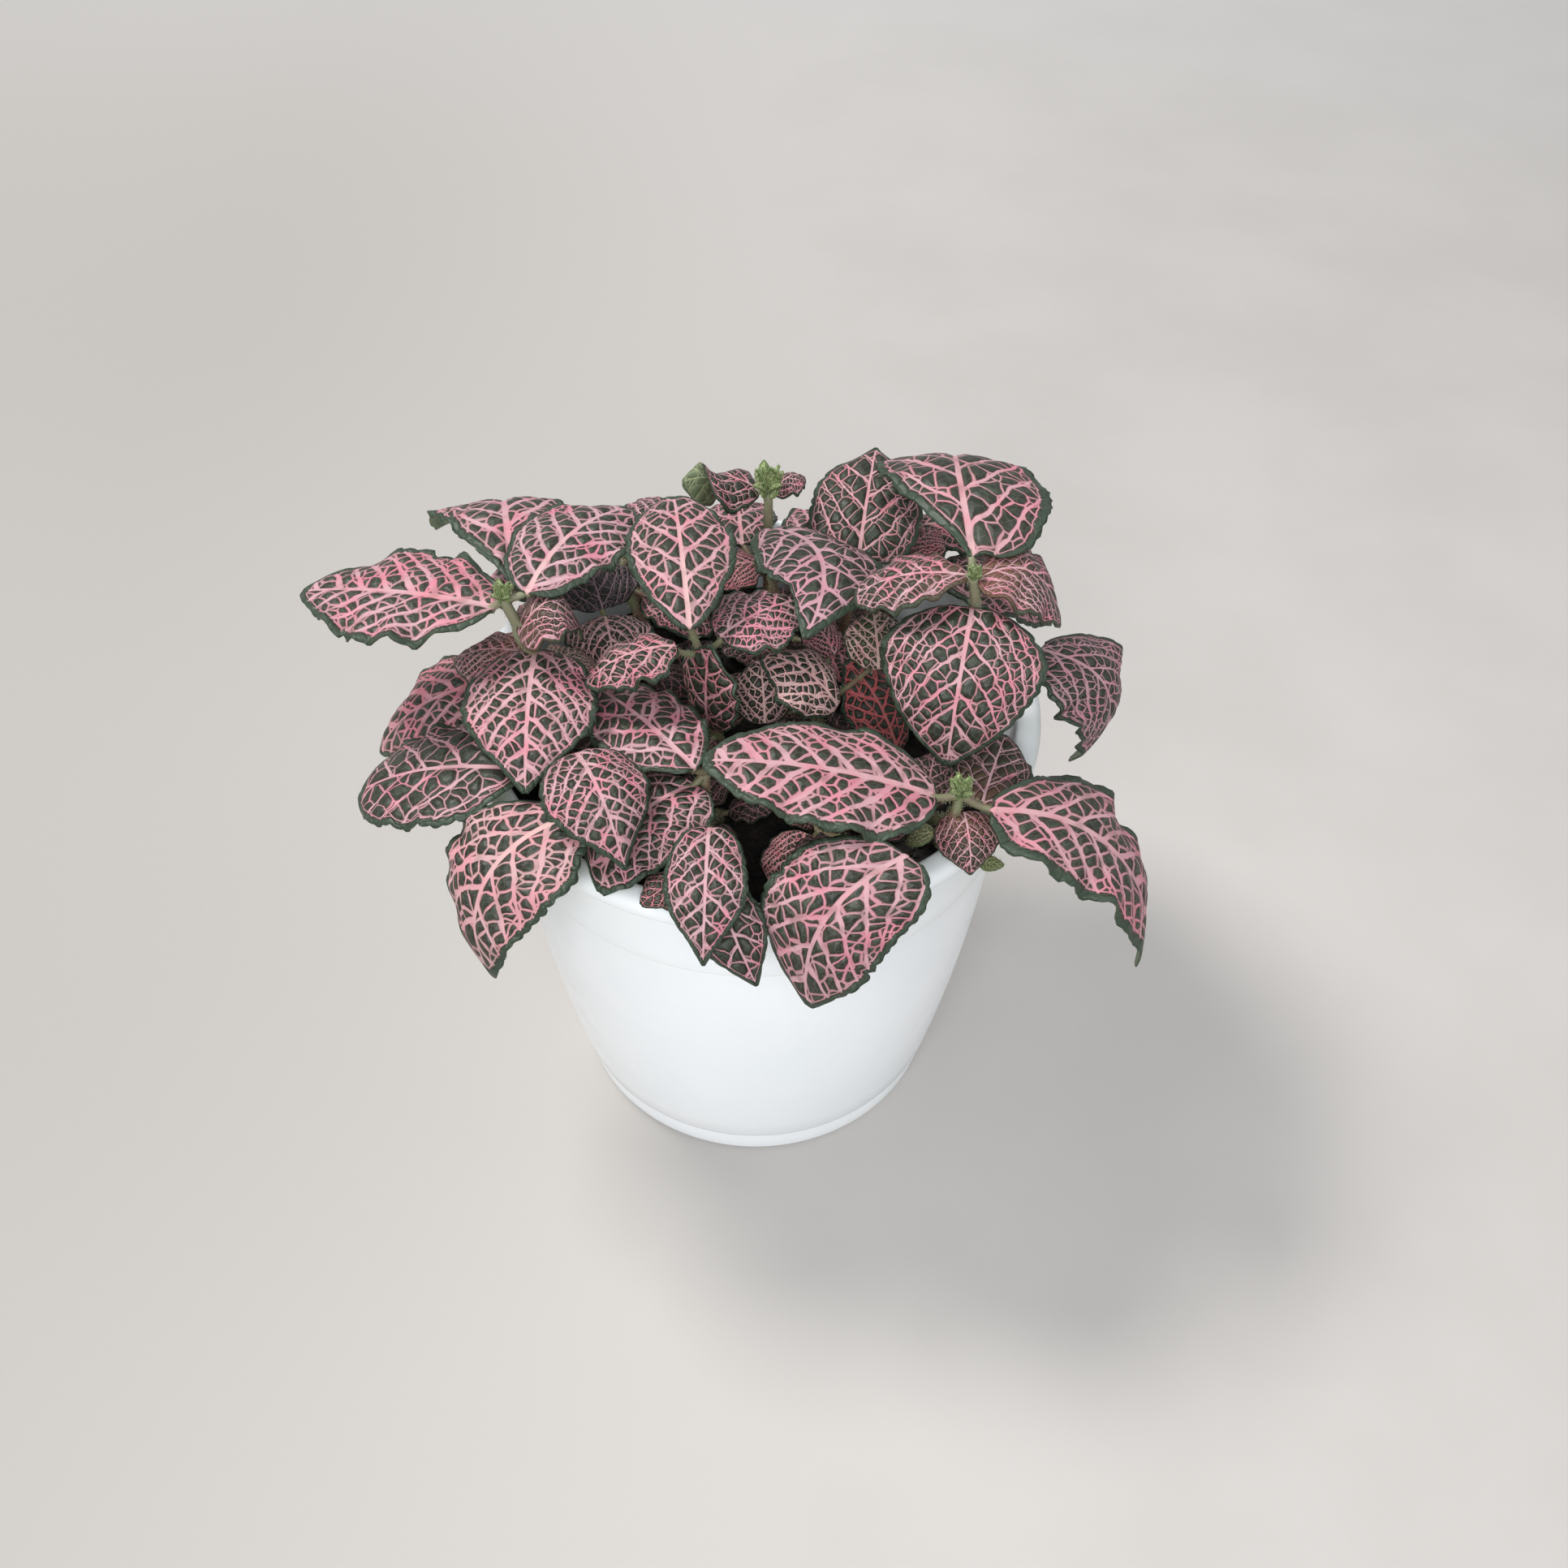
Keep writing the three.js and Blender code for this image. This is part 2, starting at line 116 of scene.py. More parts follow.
def noise(tree, vector, scale, detail=2.0, roughness=0.5):
    inputs = {"Vector": vector, "Scale": scale, "Detail": detail, "Roughness": roughness}
    return addNode(tree, "ShaderNodeTexNoise", inputs).outputs["Fac"]


def newGroup(name, inputs, outputs):
    group = bpy.data.node_groups.new(name, "ShaderNodeTree")
    for way, keys in (("INPUT", inputs), ("OUTPUT", outputs)):
        for key in keys:
            group.interface.new_socket(name=key, in_out=way, socket_type="NodeSocketFloat")
    start = group.nodes.new("NodeGroupInput")
    end = group.nodes.new("NodeGroupOutput")
    return group, start.outputs, end.inputs


def newMaterial(name, roughness):
    material = bpy.data.materials.new(name)
    material.use_nodes = True
    tree = material.node_tree
    shader = tree.nodes["Principled BSDF"]
    shader.inputs["Roughness"].default_value = roughness
    return material, tree, shader


def addBump(tree, shader, height, strength, depth):
    bump = addNode(tree, "ShaderNodeBump", {"Height": height, "Strength": strength, "Distance": depth * mm})
    plug(tree, shader.inputs["Normal"], bump.outputs["Normal"])


# Camera, floor and light: the camera's place is in millimetres and its angles are in degrees.
view = {
    "focal": 35.40, "sensor": 36, "nearest": 10, "place": (0.0, -242.4, 351.5),
    "pitch": 47.53, "yaw": 1.55, "roll": 0.91,
}

# The floor's darker colour serves its random clouds and also painted shade, the floor turning darker towards
# the left.
floorLook = {
    "reach": 3.0, "roughness": 0.75,
    # painted light: the far colour lightens the floor far behind the pot
    "colour": tint(189, 185, 181), "dark": tint(168, 164, 159), "far": tint(240, 238, 235),
    "cloudScale": 14.0, "cloudDetail": 4.0, "clouds": (0.3, 0.7, 0.25),
    "paintedShadeFrom": -0.25, "paintedShadeTo": 0.1, "paintedLightFar": (0.25, 1.4, 1.0),
}

studio = {
    "target": (0, 0, 0.1), "skyColour": (0.93, 0.95, 1.0, 1), "skyStrength": 0.5,
    "lamps": {
        "keyLight": {"place": (-0.55, 0.25, 1.1), "size": 0.36, "power": 10.5, "colour": (1.0, 0.985, 0.96)},
        "frontLight": {"place": (-0.1, -0.95, 0.9), "size": 0.8, "power": 10.5, "colour": (0.965, 0.985, 1)},
        "rightLight": {"place": (0.9, 0.1, 0.7), "size": 0.7, "power": 1.8, "colour": (0.96, 0.98, 1.0)},
    },
}


def makeCamera():
    pitch, yaw, roll = (math.radians(view[key]) for key in ("pitch", "yaw", "roll"))
    flat = math.cos(pitch)
    forward = Vector((math.sin(yaw) * flat, math.cos(yaw) * flat, -math.sin(pitch)))
    right = Vector((math.cos(yaw), -math.sin(yaw), 0))
    up = right.cross(forward)
    rightRolled = math.cos(roll) * right + math.sin(roll) * up
    upRolled = -math.sin(roll) * right + math.cos(roll) * up
    data = bpy.data.cameras.new("viewCamera")
    data.lens = view["focal"]
    data.sensor_width = view["sensor"]
    data.clip_start = view["nearest"] * mm
    camera = bpy.data.objects.new("viewCamera", data)
    bpy.context.scene.collection.objects.link(camera)
    turn = Matrix((rightRolled, upRolled, -forward)).transposed().to_4x4()
    camera.matrix_world = Matrix.Translation(Vector(view["place"]) * mm) @ turn
    bpy.context.scene.camera = camera


def makeFloor():
    look = floorLook
    reach = look["reach"]
    corners = [(-reach, -reach, 0), (reach, -reach, 0), (reach, reach, 0), (-reach, reach, 0)]
    data = bpy.data.meshes.new("floor")
    data.from_pydata(corners, [], [(0, 1, 2, 3)])
    floor = bpy.data.objects.new("floor", data)
    bpy.context.scene.collection.objects.link(floor)
    material, tree, shader = newMaterial("paleFloor", look["roughness"])
    place = objectPlace(tree)
    apart = splitXyz(tree, place)
    cloud = noise(tree, place, look["cloudScale"], look["cloudDetail"])
    cloudPart = patches(tree, cloud, look["clouds"])
    # painted shade: the floor is painted darker towards the left
    paintedShadeLeft = ramp(tree, apart["X"], look["paintedShadeFrom"], look["paintedShadeTo"], 1.0, 0.0)
    # painted light: the floor is painted lighter far behind the pot
    paintedLightFar = patches(tree, apart["Y"], look["paintedLightFar"])
    cloudAndShadePart = maths(tree, "MAXIMUM", cloudPart, paintedShadeLeft)
    colour = layered(tree, look["colour"], (cloudAndShadePart, look["dark"]), (paintedLightFar, look["far"]))
    plug(tree, shader.inputs["Base Color"], colour)
    data.materials.append(material)


def makeLights():
    for name, lamp in studio["lamps"].items():
        data = bpy.data.lights.new(name, "AREA")
        data.shape = "DISK"
        data.size = lamp["size"]
        data.energy = lamp["power"]
        data.color = lamp["colour"]
        light = bpy.data.objects.new(name, data)
        bpy.context.scene.collection.objects.link(light)
        place = Vector(lamp["place"])
        aim = Vector(studio["target"]) - place
        light.matrix_world = Matrix.Translation(place) @ aim.to_track_quat("-Z", "Y").to_matrix().to_4x4()
    world = bpy.data.worlds.new("studio")
    world.use_nodes = True
    background = world.node_tree.nodes["Background"]
    background.inputs["Color"].default_value = studio["skyColour"]
    background.inputs["Strength"].default_value = studio["skyStrength"]
    bpy.context.scene.world = world


makeCamera()
makeFloor()
makeLights()
bpy.context.scene.view_settings.view_transform = "Standard"
print("camera, floor and light ready")


# The veins, in leaf lengths: how far each place on a blade is from the nearest one.
veinShape = {
    "lean": 0.6, "bend": 2.0,  # how side ribs leave the midrib and arch forwards
    "ribStart": 0.5, "ribPower": 0.9, "ribGap": 0.92, "sideShift": 0.22,
    "rows": 1.3, "runNear": 0.85, "runFar": 3.0,  # cells across the gap between ribs, and along it
    "scatter": 0.8, "fineCells": 2.3,
    "wobble": 0.06, "wobbleScale": 8.0, "loop": 0.047, "loopWobble": 0.03,
    "varyScale": 21.0, "varyFrom": 0.45, "varyBy": 1.1,  # thick and thin stretches
    "midWidth": 0.020, "midThin": 0.012, "ribWidth": 0.0145, "ribThin": 0.0065,
    "netWidth": 0.0054, "netThin": 0.0008, "fineWidth": 0.0012,
    "netJoin": 0.004, "ribJoin": 0.010, "allJoin": 0.007,  # how far veins flow into each other
    "rimFade": 0.030, "rimPush": 0.016, "puff": (-0.006, 0.024),
    "soft": {"Vein": (-0.0018, 0.0022), "Strong": (-0.003, 0.002), "Midrib": (-0.004, 0.004),
             "Fine": (-0.0006, 0.0016)},  # from the vein's own colour to the field's
    "seedSteps": (7.3, 5.1, 17.0), "gapSteps": (5.0, 3.37), "sideStep": 40.0,  # no two leaves alike
}
veinInputs = ("Along", "Across", "Share", "Edge", "Seed", "Ribs", "Width", "Cells")
veinOutputs = ("Distance", "Vein", "Strong", "Midrib", "Fine", "Border", "Puff")


def makeVeinNet():
    group, given, result = newGroup("veinNet", veinInputs, veinOutputs)
    shape = veinShape
    m = partial(maths, group)
    times, timesPlus = partial(m, "MULTIPLY"), partial(m, "MULTIPLY_ADD")
    minus, over = partial(m, "SUBTRACT"), partial(m, "DIVIDE")
    along, across, share, edge, seed, ribs, width, cells = (given[name] for name in veinInputs)
    placeStep, otherStep, cellStep = shape["seedSteps"]
    place = joinXyz(group, along, across, times(seed, placeStep))
    otherPlace = joinXyz(group, across, along, timesPlus(seed, otherStep, 3.7))
    wobbleAlong = minus(noise(group, place, shape["wobbleScale"]), 0.5)
    wobbleAcross = minus(noise(group, otherPlace, shape["wobbleScale"]), 0.5)
    vary = noise(group, otherPlace, shape["varyScale"])
    vary = timesPlus(vary, shape["varyBy"], shape["varyFrom"])
    side = m("SIGN", across)
    out = m("ABSOLUTE", across)
    share = m("ABSOLUTE", share)
    near = m("MINIMUM", times(out, 10.0), 1.0)  # no wobble on the midrib
    alongWavy = timesPlus(wobbleAlong, shape["wobble"], along)
    outWavy = timesPlus(times(wobbleAcross, near), shape["wobble"], out)
    lead = times(outWavy, timesPlus(outWavy, shape["bend"], shape["lean"]))
    slope = timesPlus(outWavy, 2 * shape["bend"], shape["lean"])
    steep = m("SQRT", timesPlus(slope, slope, 1.0))
    # the ribs run where the level is a whole number, by turns on the two sides
    rise = m("MAXIMUM", m("ADD", minus(alongWavy, lead), shape["ribStart"]), 0.0)
    level = times(ribs, m("POWER", rise, shape["ribPower"]))
    level = m("ADD", level, timesPlus(side, shape["sideShift"], seed))
    ribScale = times(times(ribs, shape["ribGap"]), steep)
    ribDistance = over(m("PINGPONG", level, 0.5), ribScale)
    widthMid = timesPlus(width, 0.6, 0.4)
    midWidth = times(widthMid, timesPlus(along, -shape["midThin"], shape["midWidth"]))
    ribWidth = times(width, timesPlus(share, -shape["ribThin"], shape["ribWidth"]))
    midPart = minus(out, midWidth)
    ribPart = minus(ribDistance, ribWidth)
    # cross veins stand square to the ribs: each gap between two ribs has cells of its own
    gap = m("FLOOR", level)
    inGap = minus(minus(level, gap), 0.5)
    runRate = times(cells, timesPlus(outWavy, 2 * shape["runFar"], shape["runNear"]))
    run = timesPlus(outWavy, shape["runFar"], shape["runNear"])
    run = times(times(cells, outWavy), run)
    square = over(times(runRate, slope), times(ribs, times(steep, steep)))
    run = timesPlus(inGap, square, run)
    size = over(steep, runRate)
    acrossStep, runStep = shape["gapSteps"]
    gapShift = timesPlus(seed, cellStep, times(side, shape["sideStep"]))
    gapShift = timesPlus(gap, runStep, gapShift)

    def cellDistance(scale):
        netX = timesPlus(gap, acrossStep, timesPlus(inGap, shape["rows"] * scale, 0.5))
        netY = timesPlus(run, scale, gapShift)
        inputs = {"Vector": joinXyz(group, netX, netY, 0.0), "Scale": 1.0, "Randomness": shape["scatter"]}
        cell = addNode(group, "ShaderNodeTexVoronoi", inputs, voronoi_dimensions="2D",
                       feature="DISTANCE_TO_EDGE")
        return times(cell.outputs["Distance"], over(size, scale))

    # a loop along the margin ties the net together, and outside it the border stays green
    netWidth = times(width, timesPlus(share, -shape["netThin"], shape["netWidth"]))
    netWidth = times(netWidth, vary)
    netPart = minus(cellDistance(1.0), netWidth)
    inside = minus(edge, timesPlus(wobbleAlong, shape["loopWobble"], shape["loop"]))
    loopPart = minus(m("ABSOLUTE", inside), netWidth)
    netPart = m("SMOOTH_MIN", netPart, loopPart, shape["netJoin"])
    strong = m("SMOOTH_MIN", midPart, ribPart, shape["ribJoin"])
    distance = m("SMOOTH_MIN", strong, netPart, shape["allJoin"])
    rim = ramp(group, inside, -shape["rimFade"], 0.0, 1.0, 0.0)
    distance = timesPlus(rim, shape["rimPush"], distance)
    finePart = minus(cellDistance(shape["fineCells"]), times(width, shape["fineWidth"]))
    plug(group, result["Distance"], distance)
    plug(group, result["Border"], rim)
    plug(group, result["Puff"], ramp(group, distance, *shape["puff"]))
    parts = {"Vein": distance, "Strong": strong, "Midrib": midPart, "Fine": finePart}
    for name, part in parts.items():
        plug(group, result[name], ramp(group, part, *shape["soft"][name], 1.0, 0.0))
    return group


leafColours = {
    "green": tint(36, 40, 31), "greenLight": tint(60, 69, 56), "border": tint(54, 70, 55),
    "fine": tint(116, 106, 96), "nearVein": tint(76, 46, 42), "bronze": tint(118, 82, 66),
    "net": tint(168, 132, 138), "vein": tint(188, 153, 160), "pink": tint(196, 118, 136),
    "coral": tint(198, 136, 140), "dusk": tint(120, 98, 94), "lilac": tint(168, 136, 150),
    "veinDeep": tint(182, 72, 74), "veinPale": tint(212, 178, 170),
    "under": tint(102, 114, 86), "underVein": tint(164, 172, 130),
    "bud": tint(120, 140, 88), "budVein": tint(198, 208, 150), "shade": tint(24, 20, 22),
}

leafSurface = {
    "shine": 0.35, "roughness": 0.46, "veinRoughness": 0.1,
    "mottleScale": 22.0, "patchScale": 5.0, "fadedScale": 11.0, "grainScale": 2600.0,
    "light": (0.35, 0.75, 0.8), "pink": (0.42, 0.68, 0.85), "dusk": (0.5, 0.72, 0.55),
    "paleLeaf": (0.5, 1.0, 0.65), "fine": 0.25, "border": 0.75, "coral": 0.3, "softVein": 0.7, "shade": 0.75,
    "besideVein": 0.008, "besideShare": 0.6,
    "relief": 0.5, "reliefStrength": 0.8, "underRelief": -0.7, "grain": 0.12,
}


def makeLeafMaterial():
    look, colours = leafSurface, leafColours
    material, tree, shader = newMaterial("leafSkin", look["roughness"])
    shader.inputs["Specular IOR Level"].default_value = look["shine"]
    times, timesPlus = partial(maths, tree, "MULTIPLY"), partial(maths, tree, "MULTIPLY_ADD")
    along, across, share = splitAttribute(tree, "leafSpot")
    edge, under, fresh = splitAttribute(tree, "leafEdge")
    seed, ribs, width = splitAttribute(tree, "leafLook")
    cells, deep, pale = splitAttribute(tree, "leafTint")
    # painted shade first, then the bronze and lilac tints
    dull, bronze, lilac = splitAttribute(tree, "leafMood")
    values = dict(zip(veinInputs, (along, across, share, edge, seed, ribs, width, cells)))
    net = addNode(tree, "ShaderNodeGroup", node_tree=makeVeinNet())
    for key, value in values.items():
        plug(tree, net.inputs[key], value)
    net = net.outputs
    spot = joinXyz(tree, along, across, times(seed, 3.1))
    mottle = noise(tree, spot, look["mottleScale"], 3.0)
    patch = noise(tree, spot, look["patchScale"])
    faded = noise(tree, spot, look["fadedScale"])
    nearBase = ramp(tree, timesPlus(patch, 0.5, along), 0.35, 0.8, 1.0, 0.15)
    green = layered(
        tree, colours["green"],
        (patches(tree, mottle, look["light"]), colours["greenLight"]),
        (times(net["Fine"], look["fine"]), colours["fine"]),
        (ramp(tree, net["Distance"], 0.0, look["besideVein"], look["besideShare"], 0.0), colours["nearVein"]),
        (times(net["Border"], look["border"]), colours["border"]),
        (times(bronze, nearBase), colours["bronze"]))
    ownHue = maths(tree, "FRACT", times(seed, 3.7))
    palePart = times(times(net["Midrib"], ramp(tree, along, 0.0, 0.8, 1.0, 0.25)), pale)
    palePart = maths(tree, "MAXIMUM", palePart, patches(tree, pale, look["paleLeaf"]))
    vein = layered(
        tree, colours["net"],
        (net["Strong"], colours["vein"]),
        (patches(tree, patch, look["pink"]), colours["pink"]),
        (times(ownHue, look["coral"]), colours["coral"]),
        (patches(tree, faded, look["dusk"]), colours["dusk"]),
        (lilac, colours["lilac"]),
        (deep, colours["veinDeep"]),
        (palePart, colours["veinPale"]))
    soft = times(net["Vein"], look["softVein"])
    colour = layered(
        tree, green,
        (net["Vein"], vein),
        (under, layered(tree, colours["under"], (soft, colours["underVein"]))),
        (fresh, layered(tree, colours["bud"], (soft, colours["budVein"]))),
        # painted shade: leaves that lie in shadow are darkened towards the shade colour
        (times(dull, look["shade"]), colours["shade"]))
    plug(tree, shader.inputs["Base Color"], colour)
    roughness = timesPlus(net["Vein"], look["veinRoughness"], look["roughness"])
    plug(tree, shader.inputs["Roughness"], roughness)
    grain = noise(tree, objectPlace(tree), look["grainScale"])
    puff = times(net["Puff"], timesPlus(under, look["underRelief"], 1.0))
    height = timesPlus(grain, look["grain"], puff)
    addBump(tree, shader, height, look["reliefStrength"], look["relief"])
    return material


stemLook = {
    "green": tint(110, 118, 84), "brown": tint(112, 84, 70), "young": tint(138, 144, 116),
    "roughness": 0.55, "streakScale": 260.0, "streaks": (0.3, 0.7, 1.0), "relief": 0.2, "strength": 0.5,
    "youngPart": (115 * mm, 150 * mm, 0.5),  # by height
    "hair": tint(206, 210, 178), "hairDark": tint(168, 170, 130), "hairScale": 90.0, "hairRoughness": 0.6,
}


def makeStemMaterial():
    look = stemLook
    material, tree, shader = newMaterial("stemSkin", look["roughness"])
    place = objectPlace(tree)
    streak = noise(tree, place, look["streakScale"], 3.0)
    youngPart = patches(tree, splitXyz(tree, place)["Z"], look["youngPart"])
    brownPart = patches(tree, streak, look["streaks"])
    colour = layered(tree, look["green"], (brownPart, look["brown"]), (youngPart, look["young"]))
    plug(tree, shader.inputs["Base Color"], colour)
    addBump(tree, shader, streak, look["strength"], look["relief"])
    return material


def makeHairMaterial():
    look = stemLook
    material, tree, shader = newMaterial("fineHair", look["hairRoughness"])
    patch = noise(tree, objectPlace(tree), look["hairScale"])
    plug(tree, shader.inputs["Base Color"], layered(tree, look["hair"], (patch, look["hairDark"])))
    return material


plasticLook = {
    "white": tint(246, 249, 251), "cool": tint(241, 246, 249),
    "shine": 0.5, "glossiest": 0.17, "dullest": 0.26,
    "cloudScale": 30.0, "clouds": (0.3, 0.7, 1.0), "smudgeScale": 70.0, "smudgeFrom": 0.35, "smudgeTo": 0.75,
    "rippleScale": 28.0, "ripple": 0.6, "strength": 0.15,
}


def makePlasticMaterial():
    look = plasticLook
    material, tree, shader = newMaterial("whitePlastic", look["glossiest"])
    shader.inputs["Specular IOR Level"].default_value = look["shine"]
    place = objectPlace(tree)
    cloud = noise(tree, place, look["cloudScale"], 3.0)
    colour = layered(tree, look["white"], (patches(tree, cloud, look["clouds"]), look["cool"]))
    plug(tree, shader.inputs["Base Color"], colour)
    smudge = noise(tree, place, look["smudgeScale"], 4.0, 0.6)
    gloss = ramp(tree, smudge, look["smudgeFrom"], look["smudgeTo"], look["glossiest"], look["dullest"])
    plug(tree, shader.inputs["Roughness"], gloss)
    ripple = noise(tree, place, look["rippleScale"], 0.0)
    addBump(tree, shader, ripple, look["strength"], look["ripple"])
    return material


soilLook = {
    "wet": tint(13, 10, 8), "dry": tint(26, 20, 16), "speck": tint(54, 42, 33), "roughness": 0.95,
    "grainScale": 420.0, "specks": (0.45, 0.8, 1.0), "patchScale": 60.0, "dryPatches": (0.35, 0.7, 1.0),
    "relief": 1.2, "strength": 0.9,
}


def makeSoilMaterial():
    look = soilLook
    material, tree, shader = newMaterial("pottingSoil", look["roughness"])
    place = objectPlace(tree)
    grain = noise(tree, place, look["grainScale"], 5.0, 0.7)
    patch = noise(tree, place, look["patchScale"], 3.0)
    colour = layered(tree, look["wet"], (patches(tree, patch, look["dryPatches"]), look["dry"]),
                     (patches(tree, grain, look["specks"]), look["speck"]))
    plug(tree, shader.inputs["Base Color"], colour)
    addBump(tree, shader, grain, look["strength"], look["relief"])
    return material


leafSkin = makeLeafMaterial()
stemSkin = makeStemMaterial()
fineHair = makeHairMaterial()
whitePlastic = makePlasticMaterial()
pottingSoil = makeSoilMaterial()
print("materials ready")


def newPiece(name, points, faces, materials, faceMaterials=None, attributes=None, smooth=True):
    data = bpy.data.meshes.new(name)
    data.from_pydata([tuple(p) for p in np.asarray(points) * mm], [], faces)
    for material in materials:
        data.materials.append(material)
    if faceMaterials is not None:
        data.polygons.foreach_set("material_index", faceMaterials)
    data.polygons.foreach_set("use_smooth", [smooth] * len(data.polygons))
    for key, values in (attributes or {}).items():
        layer = data.attributes.new(key, "FLOAT_VECTOR", "POINT")
        layer.data.foreach_set("vector", np.asarray(values).ravel())
    data.update()
    piece = bpy.data.objects.new(name, data)
    bpy.context.scene.collection.objects.link(piece)
    return piece


def bakeModifiers(piece):
    depsgraph = bpy.context.evaluated_depsgraph_get()
    result = bpy.data.meshes.new_from_object(piece.evaluated_get(depsgraph))
    piece.modifiers.clear()
    old, piece.data = piece.data, result
    bpy.data.meshes.remove(old)
    piece.data.name = piece.name


# A closed turned shape from [radius, height] pairs that start and end on the axis.
def turnedPiece(name, profile, sides, material):
    angles = np.linspace(0, 2 * np.pi, sides, endpoint=False)
    points = [(0, 0, profile[0][1])]
    for radius, height in profile[1:-1]:
        points += [(radius * math.cos(a), radius * math.sin(a), height) for a in angles]
    points.append((0, 0, profile[-1][1]))
    rings = len(profile) - 2
    faces = []
    for j in range(sides):
        k = (j + 1) % sides
        faces.append((0, 1 + k, 1 + j))
        for i in range(rings - 1):
            low, high = 1 + i * sides, 1 + (i + 1) * sides
            faces.append((low + j, low + k, high + k, high + j))
        last = 1 + (rings - 1) * sides
        faces.append((last + j, last + k, len(points) - 1))
    return newPiece(name, points, faces, [material])


def roundedCorner(start, corner, end, steps=5):
    start, corner, end = (np.array(p, float) for p in (start, corner, end))
    shares = np.linspace(0, 1, steps)
    return [tuple((1 - t) ** 2 * start + 2 * t * (1 - t) * corner + t * t * end) for t in shares]


pot = {
    "height": 116, "rim": 62.5, "rimInner": 57, "lipBottom": 111.6, "collarBottom": 90, "collar": 57.4,
    "collarTop": 58.4, "bodyTop": 56.6, "bodyBottom": 8.4, "bodyFoot": 47.6, "bulge": 1.45, "wall": 1.8,
    "base": 43.4, "baseBottom": 2.6, "floorTop": 5, "groove": 0.35, "grooveHeight": 0.3,
    "baseRound": 1.2, "footRound": 0.9, "collarRound": 0.6, "lipRound": 1.2, "rimRound": 2.2,
    "mouthRound": 2.0,
    "drains": 5, "drainRadius": 3, "drainCircle": 26, "drainSides": 20, "sides": 144, "rings": 14,
}


def bodyRadius(height):
    t = (height - pot["bodyBottom"]) / (pot["collarBottom"] - pot["bodyBottom"])
    spread = pot["bodyTop"] - pot["bodyFoot"]
    return pot["bodyFoot"] + spread * t + 4 * pot["bulge"] * t * (1 - t)


# The pot's section, from the axis under its floor, up the outside, over the rim and down the inside. Small
# offsets keep neighbouring points apart.
def potProfile():
    p = pot
    top, lip, rim, inner, wall = (p[key] for key in ("height", "lipBottom", "rim", "rimInner", "wall"))
    base, under, foot, bottom = (p[key] for key in ("base", "baseBottom", "bodyFoot", "bodyBottom"))
    collar, collarTop = p["collar"], p["collarTop"]
    bodyTop, middle = p["bodyTop"], p["collarBottom"]
    heights = np.linspace(bottom + 1.2, middle - 0.5, p["rings"])
    turn = p["baseRound"]
    profile = [(0, under), (base - turn, under)]
    profile += roundedCorner((base - turn, under + 0.05), (base, under), (base, under + turn), 3)
    turn = p["footRound"]
    profile += [(base, bottom), (foot - turn, bottom)]
    profile += roundedCorner((foot - 0.8, bottom + 0.02), (foot + 0.1, bottom),
                             (foot + 0.1, bottom + turn), 4)
    profile += [(bodyRadius(h), h) for h in heights]
    groove, edge = bodyTop - p["groove"], middle + p["grooveHeight"]
    profile += [(bodyTop + 0.02, middle - 0.15), (groove, middle), (groove + 0.05, edge - 0.05)]
    turn = p["collarRound"]
    profile += roundedCorner((collar - 0.55, edge), (collar, edge), (collar + 0.03, edge + turn), 4)
    low, high = middle + 1.5, lip - 1.8
    profile += [(collar + (collarTop - collar) * t, low + (high - low) * t) for t in (0.15, 0.5, 0.9)]
    turn = p["lipRound"]
    profile += roundedCorner((collarTop, lip - 1.3), (collarTop + 0.2, lip), (rim - turn, lip), 6)
    profile += roundedCorner((rim - 0.9, lip + 0.05), (rim, lip + 0.1), (rim, lip + 1.3))
    turn = p["rimRound"]
    profile += roundedCorner((rim, top - turn), (rim - 0.1, top), (rim - turn - 0.4, top), 7)
    turn = p["mouthRound"]
    profile += roundedCorner((inner + turn + 0.2, top), (inner + 0.2, top), (inner, top - turn), 6)
    profile += [(collarTop - wall + 0.1, lip - 1.5), (collar - wall + 0.3, middle + 8)]
    profile.append((collar - wall, middle))
    profile += [(bodyRadius(h) - wall, h) for h in heights[-2:1:-1]]
    profile += [(foot - wall, bottom + wall + 0.6), (base - wall, bottom + wall)]
    return profile + [(base - wall, p["floorTop"]), (0, p["floorTop"])]


def makePot():
    piece = turnedPiece("glossyPot", potProfile(), pot["sides"], whitePlastic)
    low, high, radius = pot["baseBottom"] - 1, pot["floorTop"] + 1, pot["drainRadius"]
    for i in range(pot["drains"]):
        angle = 2 * math.pi * i / pot["drains"]
        place = Vector((math.cos(angle), math.sin(angle), 0)) * pot["drainCircle"] * mm
        ring = [(0, low), (radius, low), (radius, high), (0, high)]
        cutter = turnedPiece("drainCutter", ring, pot["drainSides"], whitePlastic)
        cutter.data.transform(Matrix.Translation(place))
        cut = piece.modifiers.new("drain", "BOOLEAN")
        cut.operation, cut.object, cut.solver = "DIFFERENCE", cutter, "EXACT"
        bakeModifiers(piece)
        bpy.data.objects.remove(cutter)
    return piece


tray = {"height": 8, "radius": 46.6, "foot": 45.6, "wall": 1.8, "floor": 2.2, "rimRound": 0.7, "sides": 144}


def makeTray():
    radius, foot, turn = tray["radius"], tray["foot"], tray["rimRound"]
    top, floor = tray["height"], tray["floor"]
    inner = radius - tray["wall"]
    profile = [(0, 0), (foot - 0.6, 0)]
    profile += roundedCorner((foot - 0.4, 0.02), (foot + 0.5, 0), (radius - 0.3, 1.4))
    profile += [(radius - 0.1, 4), (radius, top - 0.9)]
    profile += roundedCorner((radius, top - turn), (radius, top), (radius - turn, top), 4)
    profile += [(inner + 0.2, top), (inner, top - 0.3), (inner - 0.4, floor), (0, floor)]
    return turnedPiece("glossyTray", profile, tray["sides"], whitePlastic)


soil = {
    "level": 99, "mound": 2.5, "clearance": 0.35, "sides": 120, "rings": 34, "lumps": 0.8,
    "crumbs": 2600, "crumbReach": 55, "crumbSize": 1.5, "smallest": 0.35, "largest": 1.3, "lean": 1.5,
    "seed": 4,
}


